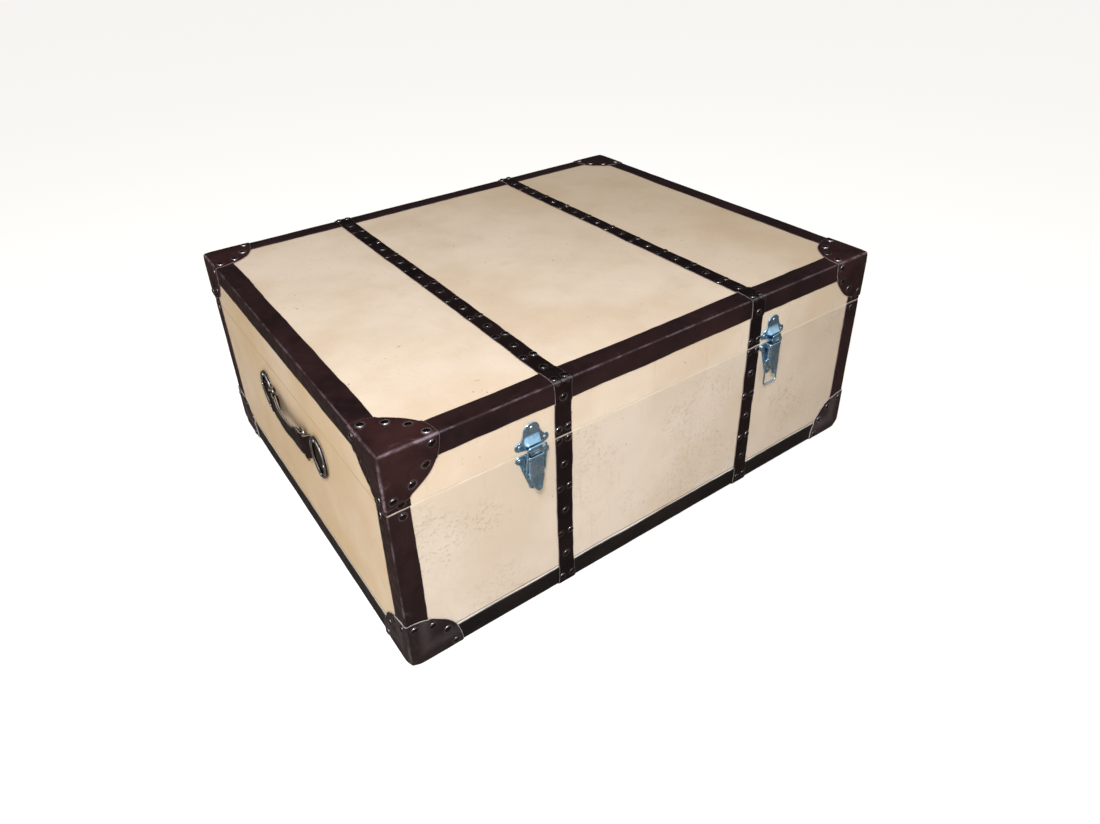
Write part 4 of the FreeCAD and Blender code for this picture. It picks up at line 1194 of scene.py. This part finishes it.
# %% [markdown]
# ## Catches
# On the lid sits a bell-shaped plate. Its lower half is pressed out into a hood over the hook,
# so that the bright side of the room is mirrored in the flare and the dark floor in the flat part
# above it. The hook is a strip bent up to a lip, and an oval hollow is pressed into the lip.

# %% Catches
LOBE_V, LOBE_RADIUS = mm(34.5, 14.5)
EAR_U, EAR_V, EAR_RADIUS = mm(21.9, 14.0, 8.0)
FLANK = mm(18.8, 23.0)              # draws the curve between lobe and ear
CATCH_FOOT = 4.5 * MM
HOOK_HALF, HOOK_OUT, LIP_TOP, LIP_FOOT = mm(10.6, 13.0, 14.4, -0.8)
LIP_ARCH = 1.2 * MM                 # how much higher the lip's middle stands
HOOD_FOOT, HOOD_TOP, HOOD_OUT = mm(15.4, 33.0, 12.0)
PLATE_OUT = 1.5 * MM
DOWN_FRONT = (0, -1, 0)


def catch_rule(u, v, edge):
    across = 1 - smooth(0.42 * EAR_U, 0.98 * EAR_U, abs(u))
    foot = HOOD_FOOT + LIP_ARCH * np.clip(1 - (u / HOOK_HALF) ** 2, 0, 1)
    flare = np.clip((HOOD_TOP - v) / (HOOD_TOP - HOOD_FOOT), 0, 1) ** 1.8
    hood = flare * smooth(foot - 0.9 * MM, foot, v) * across
    bead = 0.35 * MM * bell(edge, 2.2 * MM, 0.8 * MM) * (1 - hood)
    return PLATE_OUT + (HOOD_OUT - PLATE_OUT) * hood + bead + rolled(edge)


def catch_outline():
    half = [(0.0, CATCH_FOOT), (HOOK_HALF, CATCH_FOOT)]
    half += sway_curve((HOOK_HALF, CATCH_FOOT), (EAR_U * 0.75, CATCH_FOOT), (EAR_U, EAR_V - EAR_RADIUS), 3)
    half += arc((EAR_U, EAR_V), EAR_RADIUS, -90, 95, 12)
    half += sway_curve((EAR_U, EAR_V + EAR_RADIUS), FLANK, (LOBE_RADIUS, LOBE_V), 7)
    half += arc((0, LOBE_V), LOBE_RADIUS, 0, 90, 12)
    return both_halves(half)


def hook_parts(middle_x):
    """The strip that leaves the plate, and the lip with its hollow."""
    columns = np.linspace(-HOOK_HALF, HOOK_HALF, 9)
    bend = [(0.3 * MM, CATCH_FOOT + 1.4 * MM), (HOOK_OUT - 2.6 * MM, CATCH_FOOT + 1.4 * MM),
            (HOOK_OUT - 1.2 * MM, CATCH_FOOT + 2.0 * MM)]
    arm = [(u, v, out) for out, v in bend for u in columns]
    quads = grid_quads(len(bend), len(columns)).tolist()
    corner = 3.0 * MM
    half = [(0.0, LIP_FOOT)] + arc((HOOK_HALF - corner, LIP_FOOT + corner), corner, -90, 0, 5)
    half += arc((HOOK_HALF - corner, LIP_TOP - corner), corner, 0, 60, 5)
    half += sway_curve(half[-1], (0.45 * HOOK_HALF, LIP_TOP + LIP_ARCH), (0.0, LIP_TOP + LIP_ARCH), 5)
    half += [(0.0, LIP_TOP + LIP_ARCH)]

    def lip_rule(u, v, edge):
        middle, tall = (LIP_TOP + LIP_FOOT) / 2, (LIP_TOP - LIP_FOOT) / 2
        oval = np.hypot(u / (HOOK_HALF - 1.5 * MM), (v - middle) / (tall - 1.2 * MM))
        return HOOK_OUT - 1.3 * MM * smooth(1.0, 0.5, oval) + rolled(edge, 0.5 * MM)

    lip, lip_faces = pressed(both_halves(half), lip_rule, 0.9 * MM)
    return [(on_front(middle_x, arm), quads, (0, 0, 1)), (on_front(middle_x, lip), lip_faces, DOWN_FRONT)]


def make_catches():
    for side in ("left", "right"):
        middle_x = middle_of("catch_" + side)
        plate, faces = pressed(catch_outline(), catch_rule)
        parts = [(on_front(middle_x, plate), faces, DOWN_FRONT)] + hook_parts(middle_x)
        piece = metal_piece("lid.catch_" + side, parts)
        settle(piece, "lid", "latch_steel", "catch_" + side)
        print(piece.name, len(piece.data.polygons), "faces at x", round(middle_x, 4))


make_catches()

# %% [markdown]
# ## Plates and levers
# The base's plate tapers down under the lever and carries two lugs for the lever's pin. The lever
# is a channel: its cross-section is swept down the front, and below the walls it narrows and
# curls out into a fingertip. Small bosses along its edges catch the light.

# %% Plates and levers
KEEPER_EAR = mm(23.0, -9.0)
KEEPER_EAR_RADIUS = 7.2 * MM
KEEPER_FLANK = mm(19.5, -31.0)
WAIST = mm(13.0, -50.0)
KEEPER_END, KEEPER_END_RADIUS = mm(-62.0, 9.0)
LEVER_HALF, LEVER_FACE, LEVER_WALL = mm(12.0, 13.5, 4.5)
LEVER_TOP, LEVER_BEND, WALL_FOOT, LEVER_TIP = mm(-2.7, -36.0, -43.0, -64.0)
TIP_OUT, TIP_HALF = mm(17.7, 7.0)
PIN_V, PIN_OUT = mm(-7.5, 10.0)
LUG_RADIUS = 5.0 * MM
BOSSES = mm(-20.0, -26.5, -33.0)
HOLLOW_V = -55.0 * MM               # the middle of the fingertip's hollow


def keeper_rule(u, v, edge):
    rib = 0.8 * MM * bell(u, 0.0, 4 * MM) * smooth(-40 * MM, -56 * MM, v)
    return PLATE_OUT + 0.3 * MM * bell(edge, 2.0 * MM, 0.8 * MM) + rib + rolled(edge)


def keeper_outline():
    ear_u, ear_v = KEEPER_EAR
    half = [(0.0, ear_v + KEEPER_EAR_RADIUS)]
    half += arc(KEEPER_EAR, KEEPER_EAR_RADIUS, 90, -80, 12)
    half += sway_curve((ear_u, ear_v - KEEPER_EAR_RADIUS), KEEPER_FLANK, WAIST, 6)
    half += [WAIST] + arc((0, KEEPER_END), KEEPER_END_RADIUS, 0, -90, 9)
    return both_halves(half)[::-1]


def lug_parts(middle_x):
    lug_u = LEVER_HALF + 0.3 * MM + SHEET
    half = arc((PIN_OUT - 1.8 * MM, PIN_V), LUG_RADIUS, -90, 90, 11)
    outline = [(0.3 * MM, PIN_V - LUG_RADIUS)] + half + [(0.3 * MM, PIN_V + LUG_RADIUS)]
    parts = []
    for side in (-1, 1):
        flat, faces = pressed(outline, lambda u, v, edge: lug_u + rolled(edge, 0.4 * MM, 0.5 * MM))
        spots = np.column_stack([side * flat[:, 2], flat[:, 1], flat[:, 0]])
        parts.append((on_front(middle_x, spots), faces, (side, 0, 0)))
    return parts


def lever_grid():
    """Rows down the lever, each a cross-section from one wall over the face to the other."""
    heights = [LEVER_TOP, LEVER_TOP - 0.5 * MM, *np.linspace(-4.5 * MM, WALL_FOOT, 34)]
    heights += list(np.linspace(WALL_FOOT, LEVER_TIP + TIP_HALF, 9)[1:])
    heights += [LEVER_TIP + TIP_HALF * (1 - math.sin(math.radians(angle)))
                for angle in (15, 30, 45, 60, 72, 82)]
    rows = []
    for v in heights:
        narrowing = np.clip((WALL_FOOT - v) / (WALL_FOOT - LEVER_TIP - TIP_HALF), 0, 1)
        half = LEVER_HALF - (LEVER_HALF - TIP_HALF) * narrowing
        over = max(0.0, (LEVER_TIP + TIP_HALF - v) / TIP_HALF)
        half = min(half, TIP_HALF * math.sqrt(max(0.0, 1 - over * over))) if over else half
        curl = max(0.0, (LEVER_BEND - v) / (LEVER_BEND - LEVER_TIP))
        face = LEVER_FACE + (TIP_OUT - LEVER_FACE) * curl ** 1.6
        face -= 0.9 * MM * math.exp((v - LEVER_TOP) / (0.5 * MM))
        wall = LEVER_WALL + (face - 1.4 * MM - LEVER_WALL) * smooth(LEVER_BEND, WALL_FOOT, v)
        corner = min(1.4 * MM, half)
        row = [(half, wall), (half, (wall + face - corner) / 2), (half, face - corner)]
        row += [(half - corner * (1 - math.cos(angle)), face - corner * (1 - math.sin(angle)))
                for angle in (0.52, 1.05, 1.57)]
        inner = half - corner
        row += [(inner * share, face) for share in (0.93, 0.84, 0.72, 0.56, 0.36, 0.16)]
        row = row + [(0.0, face)] + [(-u, out) for u, out in reversed(row)]
        rows.append([(u, v, out) for u, out in row])
    return np.array(rows)


def lever_relief(grid):
    """Press the face: a sunk panel, bosses along each side, a rib and a hollow for the fingertip."""
    u, v = grid[..., 0], grid[..., 1]
    half = grid[:, :, 0].max(axis=1)[:, None]
    on_face = smooth(1.5 * MM, 2.6 * MM, half - abs(u))
    panel = smooth(-6 * MM, -8 * MM, v) * (1 - smooth(-13.5 * MM, -15.5 * MM, v))
    press = -0.55 * MM * panel * smooth(2.6 * MM, 3.8 * MM, half - abs(u))
    for height in BOSSES:
        gap = np.hypot(abs(u) - 8.0 * MM, (v - height) * 0.8)
        press = press + 1.5 * MM * bell(gap, 0.0, 1.8 * MM)
    hollow = bell(v, HOLLOW_V, 5 * MM) * bell(u, 0.0, 4.2 * MM)
    press = press + on_face * (-1.0 * MM * hollow)
    rib = bell(u, 0.0, 2.4 * MM) * smooth(-17 * MM, -20 * MM, v) * (1 - smooth(-40 * MM, -46 * MM, v))
    grid[..., 2] += (press + 0.8 * MM * rib) * (on_face > 0)
    return grid


def make_levers():
    for side in ("left", "right"):
        middle_x = middle_of("latch_plate_" + side)
        plate, faces = pressed(keeper_outline(), keeper_rule)
        parts = [(on_front(middle_x, plate), faces, DOWN_FRONT)] + lug_parts(middle_x)
        piece = metal_piece("base.latch_plate_" + side, parts)
        settle(piece, "base", "latch_steel", "latch_plate_" + side)
        grid = lever_relief(lever_grid())
        quads = grid_quads(*grid.shape[:2]).tolist()
        parts = [(on_front(middle_x, grid.reshape(-1, 3)), quads, DOWN_FRONT)]
        lever = metal_piece("lever_" + side, parts, 1.2 * MM)
        settle(lever, "lever_" + side, "latch_steel", "latch_lever_" + side)
        print(piece.name, lever.name, len(lever.data.polygons), "faces")


make_levers()

# %% [markdown]
# ## Steel nails
# The same tree sets the smaller nails that hold latches, hinges and handles.

# %% Steel nails
SCREW_RADIUS = 3.4 * MM


def make_screws():
    for node, body, seed in (("base_screws", "base", 11), ("lid_screws", "lid", 12),
                             ("handle_rivets", "base", 13)):
        spots, ways, heights = seats_of(node, SCREW_DOME)
        piece = set_rows(node.replace("_", ".", 1), spots + ways * (heights - 0.15 * MM)[:, None], ways,
                         runs_for(ways), (SCREW_RADIUS, SCREW_RADIUS, SCREW_DOME), SCREW_STEEL, 0.05, seed)
        settle(piece, body, "handle_steel" if node == "handle_rivets" else "latch_steel", node)
        print(piece.name, len(spots), "nails")


make_screws()

# %% [markdown]
# ## Handles
# Each handle is leather held by steel. A tab of leather lies on the canvas under an oval rim and
# loops round a wire ring; the grip loops round the two rings' other bars. All its leather is one
# thing: a ribbon with a width, swept along a line that is drawn in the plane of Y and the
# distance from the canvas. Both handles are drawn at the left end, and the right one is flipped.

# %% Leather ribbons
HANDLE_Y = -16.0 * MM
HANDLE_Z = SEAM - 65.0 * MM
PLATE_SPACING = 121.0 * MM
OVAL_Y, OVAL_Z, OVAL_RIM, OVAL_STEEL = mm(31.0, 38.0, 9.0, 4.0)
TAB_LEATHER, TAB_HALF = mm(2.5, 23.0)
RING_OUT, RING_WIRE, PLAY = mm(8.5, 2.0, 0.35)
OUTER_BAR = PLATE_SPACING - OVAL_Y - 7.5 * MM
INNER_BAR = OUTER_BAR - 17.0 * MM
END = BOX_LOW[0]
HANDLE_FLIPS = {"left": 1, "right": -1}


def ribbon(path, halves, thickness, columns=9):
    """A closed leather ribbon. path holds (y, out) points of its middle, and halves its half widths."""
    path = np.asarray(path, float)
    ways = np.gradient(path, axis=0)
    ways /= np.linalg.norm(ways, axis=1, keepdims=True)
    sides = np.column_stack([-ways[:, 1], ways[:, 0]])
    across = np.sin(np.linspace(-math.pi / 2, math.pi / 2, columns))
    depth = np.sqrt(np.maximum(0.0, 1 - abs(across) ** 8)) * 0.5
    depth[[0, -1]] = 0.12
    section = [(a, d) for a, d in zip(across, depth)] + [(a, -d) for a, d in zip(across[::-1], depth[::-1])]
    spots, edge = [], []
    for point, side, half in zip(path, sides, halves):
        for a, d in section:
            y, out = point + side * d * thickness
            spots.append((END - out, HANDLE_Y + y, HANDLE_Z + a * half))
            edge.append(half * (1 - abs(a)) / MM)
    loop = len(section)
    faces = grid_quads(len(path), loop, closed=True).tolist()
    faces += [list(range(loop)), list(range(len(spots) - loop, len(spots)))]
    return spots, faces, edge


def face_out(mesh):
    """Turn all faces of a closed mesh outwards."""
    outward = bmesh.new()
    outward.from_mesh(mesh)
    bmesh.ops.recalc_face_normals(outward, faces=outward.faces)
    outward.to_mesh(mesh)
    outward.free()


def leather_piece(name, ribbons, flip):
    places, faces, edges = joined(ribbons)
    piece = add_piece(name, np.array(places) * (flip, 1, 1), faces, HANDLE_LEATHER)
    far = [FAR_OFF] * len(edges)
    store(piece.data, edge_mm=edges, fold_mm=far, nail_mm=far)
    face_out(piece.data)
    return piece


def evened(path, step=1.6 * MM):
    """The same line with its points at even steps."""
    path = np.asarray(path, float)
    runs = np.concatenate([[0.0], np.cumsum(np.linalg.norm(np.diff(path, axis=0), axis=1))])
    at = np.linspace(0, runs[-1], max(4, round(runs[-1] / step)))
    return np.column_stack([np.interp(at, runs, path[:, axis]) for axis in (0, 1)])


print("handle at z", round(HANDLE_Z, 4))

# %% [markdown]
# The tab starts under the oval, runs over the ring's bar and comes back beneath itself. Inside the
# oval it is a round pad that swells a little through the rim.

# %% Tabs
PAD_INSET = 2.0 * MM


def tab_ribbon(side):
    around = RING_WIRE + PLAY + TAB_LEATHER / 2
    top = [(PLATE_SPACING - 14 * MM, TAB_LEATHER / 2), (PLATE_SPACING - OVAL_Y - 1.0 * MM, TAB_LEATHER / 2)]
    rise = sway_curve(top[-1], (OUTER_BAR + 4.5 * MM, TAB_LEATHER * 0.6),
                      (OUTER_BAR + 1.5 * MM, RING_OUT + around), 5)
    round_bar = arc((OUTER_BAR, RING_OUT), around, 80, 280, 13)
    tail = [(OUTER_BAR + 3.5 * MM, TAB_LEATHER / 2 + 0.2 * MM)]
    path = evened(top + rise + round_bar + tail)
    path[:, 0] *= side
    return ribbon(path, [TAB_HALF] * len(path), TAB_LEATHER)


def pad_rings(side):
    """The round pad: rings of points from its middle to its thinner edge, and one more at its back."""
    middle_y = HANDLE_Y + side * PLATE_SPACING
    shares = (0.25, 0.45, 0.62, 0.76, 0.88, 0.96, 1.0)
    spots, edges, count = [], [], 40
    for share in shares:
        padding = 2.0 * MM * (1 - smooth(0.35, 0.72, share))
        swell = TAB_LEATHER + padding - 0.7 * MM * smooth(0.93, 1.0, share)
        for index in range(count):
            angle = 2 * math.pi * index / count
            spots.append((END - swell, middle_y + math.cos(angle) * (OVAL_Y - PAD_INSET) * share,
                          HANDLE_Z + math.sin(angle) * (OVAL_Z - PAD_INSET) * share))
            edges.append((1 - share) * OVAL_Y / MM)
    spots += [(END - 0.1 * MM, y, z) for _, y, z in spots[-count:]]
    edges += [0.0] * count
    faces = grid_quads(len(shares) + 1, count, closed=True).tolist()
    faces.append(list(range(len(spots) - count, len(spots))))
    centre = len(spots)
    faces += [[centre, k, (k + 1) % count] for k in range(count)]
    spots.append((END - TAB_LEATHER - 2.0 * MM, middle_y, HANDLE_Z))
    edges.append(OVAL_Y / MM)
    return spots, faces, edges


def make_tabs():
    for name, flip in HANDLE_FLIPS.items():
        parts = [make(side) for side in (-1, 1) for make in (tab_ribbon, pad_rings)]
        piece = leather_piece("base.handle_tabs_" + name, parts, flip)
        settle(piece, "base", "handle_leather", "handle_tabs_" + name)
    print("tabs", len(piece.data.polygons), "faces")


make_tabs()

# %% [markdown]
# The grip is a core of packed leather with a cover that wraps round a ring at each end. Its
# loops leave a slot, because the rings swing in it as the grip is pulled out.

# %% Grips
GRIP_HALF, GRIP_END_HALF, FLARE_RUN = mm(15.5, 23.0, 34.0)
GRIP_BOW, GRIP_LEATHER, COVER = mm(6.5, 5.5, 2.3)
SLOT = 2.6 * MM + PLAY              # how far a ring's bar slides in the grip's loop
STITCH = mm(1.9, 0.5, 0.45)
STITCH_STEP, STITCH_INSET = mm(5.5, 3.2)


def grip_half_at(y):
    """Half the grip's width: narrow in the middle, flared towards the loops, and drawn in at the tips."""
    away = abs(y)
    flare = smooth(INNER_BAR - FLARE_RUN, INNER_BAR - FLARE_RUN * 0.42, away)
    drawn_in = 1.6 * MM * smooth(INNER_BAR - 3 * MM, INNER_BAR + 6 * MM, away)
    return GRIP_HALF + (GRIP_END_HALF - GRIP_HALF) * flare - drawn_in


def bow(y):
    return RING_OUT + GRIP_BOW * np.clip(1 - (y / INNER_BAR) ** 2, 0, 1)


def grip_ribbons():
    around = RING_WIRE + PLAY + COVER / 2
    nose = INNER_BAR + SLOT
    tail = [(INNER_BAR - 9 * MM, RING_OUT - around), (INNER_BAR, RING_OUT - around)]
    turn_end = arc((nose, RING_OUT), around, -90, 90, 11)
    inward = np.linspace(INNER_BAR - 1 * MM, 0, 26)
    lift = 1.6 * MM + (around - 1.6 * MM) * smooth(INNER_BAR - 16 * MM, INNER_BAR - 3 * MM, inward)
    half = tail + turn_end + list(zip(inward, bow(inward) + lift))
    path = evened(half + [(-y, out) for y, out in reversed(half[:-1])])
    cover = ribbon(path, grip_half_at(path[:, 0]), COVER)
    reach = INNER_BAR - RING_WIRE - PLAY - 1.2 * MM
    y = np.linspace(-reach, reach, 50)
    thick = GRIP_LEATHER - COVER + 0.9 * MM
    core_path = np.column_stack([y, bow(y) + 1.6 * MM - COVER / 2 - thick / 2 + 0.2 * MM])
    core = ribbon(core_path, grip_half_at(y) - 1.2 * MM, thick)
    return [cover, core], path


def thread_paint():
    paint = Paint("waxed thread")
    x, y, z = paint.axes()
    twist = abs(((y + z) * 2600.0).sine())
    colour = paint.mix((150, 138, 118), (206, 196, 176), twist)
    rough = paint.steps(twist, 0.2, 0.8, 0.55, 0.75)
    return paint.finish(colour, rough, paint.bump(twist, 0.1 * MM))


def stitch_row(path, edge):
    """Places, outward ways and runs of the stitches near the upper (1) or lower (-1) edge of a grip."""
    outer = path[path[:, 1] > RING_OUT + 3 * MM]
    at = evened(outer, STITCH_STEP)[1:-1]
    spots = np.column_stack([END - at[:, 1] - COVER / 2 + 0.5 * MM, HANDLE_Y + at[:, 0],
                             HANDLE_Z + edge * (grip_half_at(at[:, 0]) - STITCH_INSET)])
    runs = np.gradient(spots, axis=0)
    ways = np.column_stack([-runs[:, 1], runs[:, 0], 0 * runs[:, 0]])
    return spots, ways * -np.sign(ways[:, :1]), runs


def make_grips():
    thread = thread_paint()
    for name, flip in HANDLE_FLIPS.items():
        parts, path = grip_ribbons()
        piece = leather_piece("grip_" + name, parts, flip)
        settle(piece, "grip_" + name, "handle_leather", "handle_grip_" + name)
        for row, edge in (("upper", 1), ("lower", -1)):
            places, ways, runs = (vectors * (flip, 1, 1) for vectors in stitch_row(path, edge))
            stitches = set_rows(f"grip_{name}.stitches_{row}", places, ways, runs, STITCH, thread, 0.03, 21,
                                (8, 5))
            settle(stitches, "grip_" + name, "handle_leather")
    print("grip", len(piece.data.polygons), "faces,", len(places), "stitches a row")


make_grips()

# %% [markdown]
# The oval rims are pressed steel: a bead along the outer edge, a lower groove painted dark as
# shade, and a second bead round the leather pad. That groove is the dark line in the rim.

# %% Oval rims


def oval_rim(side):
    """Rows round the rim, each a cross-section from the outer edge over the beads to the inner one."""
    across = (0.0, 0.02, 0.1, 0.2, 0.32, 0.45, 0.58, 0.7, 0.82, 0.93, 0.985, 1.0)
    levels = (0.0, 0.55, 0.92, 1.0, 0.9, 0.55, 0.5, 0.62, 0.84, 0.72, 0.4, 0.0)
    middle_y = HANDLE_Y + side * PLATE_SPACING
    count = 72
    spots, rises = [], []
    for index in range(count):
        angle = 2 * math.pi * index / count
        for share, level in zip(across, levels):
            half_y, half_z = OVAL_Y - share * OVAL_RIM, OVAL_Z - share * OVAL_RIM
            spots.append((END - TAB_LEATHER - level * OVAL_STEEL, middle_y + half_y * math.cos(angle),
                          HANDLE_Z + half_z * math.sin(angle)))
            rises.append(level)
    loop = len(across)
    faces = []
    for row in range(count):
        this, other = row * loop, (row + 1) % count * loop
        faces += [[this + k, this + k + 1, other + k + 1, other + k] for k in range(loop - 1)]
        faces.append([this, other, other + loop - 1, this + loop - 1])
    return spots, faces, rises


def make_rims():
    for name, flip in HANDLE_FLIPS.items():
        places, faces, rises = joined([oval_rim(side) for side in (-1, 1)])
        piece = add_piece("base.handle_plates_" + name, np.array(places) * (flip, 1, 1), faces, HANDLE_STEEL)
        store(piece.data, rise=rises)
        face_out(piece.data)
        settle(piece, "base", "handle_steel", "handle_plates_" + name)
    print("oval rims", len(piece.data.polygons), "faces")


make_rims()

# %% [markdown]
# ## Linings
# Inside, both halves are lined with plain cotton, pasted to the boards. Each is one cloth whose
# sides fold up from its middle, drawn like the canvas but facing inwards.

# %% Linings
LINING_STEP = 14 * MM
BEYOND = np.array([0, 0, 1.0])      # keeps the open side of the box away from the folds


def lining_paint():
    paint = Paint("cotton lining")
    x, y, z = paint.axes()
    turns = 2 * math.pi / (1.1 * MM)
    weave = sum(abs((axis * turns).sine()) for axis in (x, y, z)) * 0.33
    cloud = paint.clouds(6.0, 4.0, 0.6)
    fold = paint.clouds(26.0, 4.0, 0.6, distortion=1.0)
    colour = paint.layers((200, 188, 165), ((190, 176, 151), paint.steps(cloud, 0.4, 0.7)),
                          ((142, 122, 92), paint.steps(fold, 0.6, 0.8, 0.0, 0.12)))
    colour = paint.shade(colour, 0.88 + weave * 0.14)
    relief = paint.bump(fold, 1.0 * MM, paint.bump(weave, 0.2 * MM))
    return paint.finish(colour, paint.steps(fold, 0.3, 0.7, 0.8, 0.92), relief, gloss=0.1)


LINING = lining_paint()


def lining_relief(spots, edges, nails):
    return -0.9 * MM - 0.5 * MM * np.clip(wobble(spots, 0.05, 51), -0.2, 1)


def make_linings():
    for body, closed_low in (("base", True), ("lid", False)):
        low, high = (np.array(corner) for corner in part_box(body + "_lining"))
        closed = low[2] if closed_low else high[2]
        patches = tray(low, high, low[2], high[2], closed, LINING_STEP)
        box = (low, high + BEYOND) if closed_low else (low - BEYOND, high)
        piece = skin(body + ".lining", patches, lining_relief, 0.7 * MM, LINING, body, box, inside=True)
        settle(piece, body, "lining", body + "_lining")


make_linings()

# %% [markdown]
# ## Nodes that stay as they are
# Boards, wires, pins and leaves have the right shape already, so they keep their CAD meshes and
# only get a paint. Assigning to a material slot doesn't touch the mesh.

# %% Paint for the CAD nodes
CAD_PAINTS = {
    PINE: ("board", "rail"),
    RIM_WOOD: ("base_rim",),
    LATCH_STEEL: ("bail",),
    SCREW_STEEL: ("lever_pins",),
    WIRE_STEEL: ("ring",),
    HINGE_STEEL: ("hinge",),
}


def paint_nodes():
    count = 0
    for node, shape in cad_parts.items():
        if shape.hide_render:
            continue
        for paint, words in CAD_PAINTS.items():
            if any(word in node for word in words):
                for place in shape.material_slots:
                    place.material = paint
                count += 1
    print("painted", count, "CAD nodes")


paint_nodes()
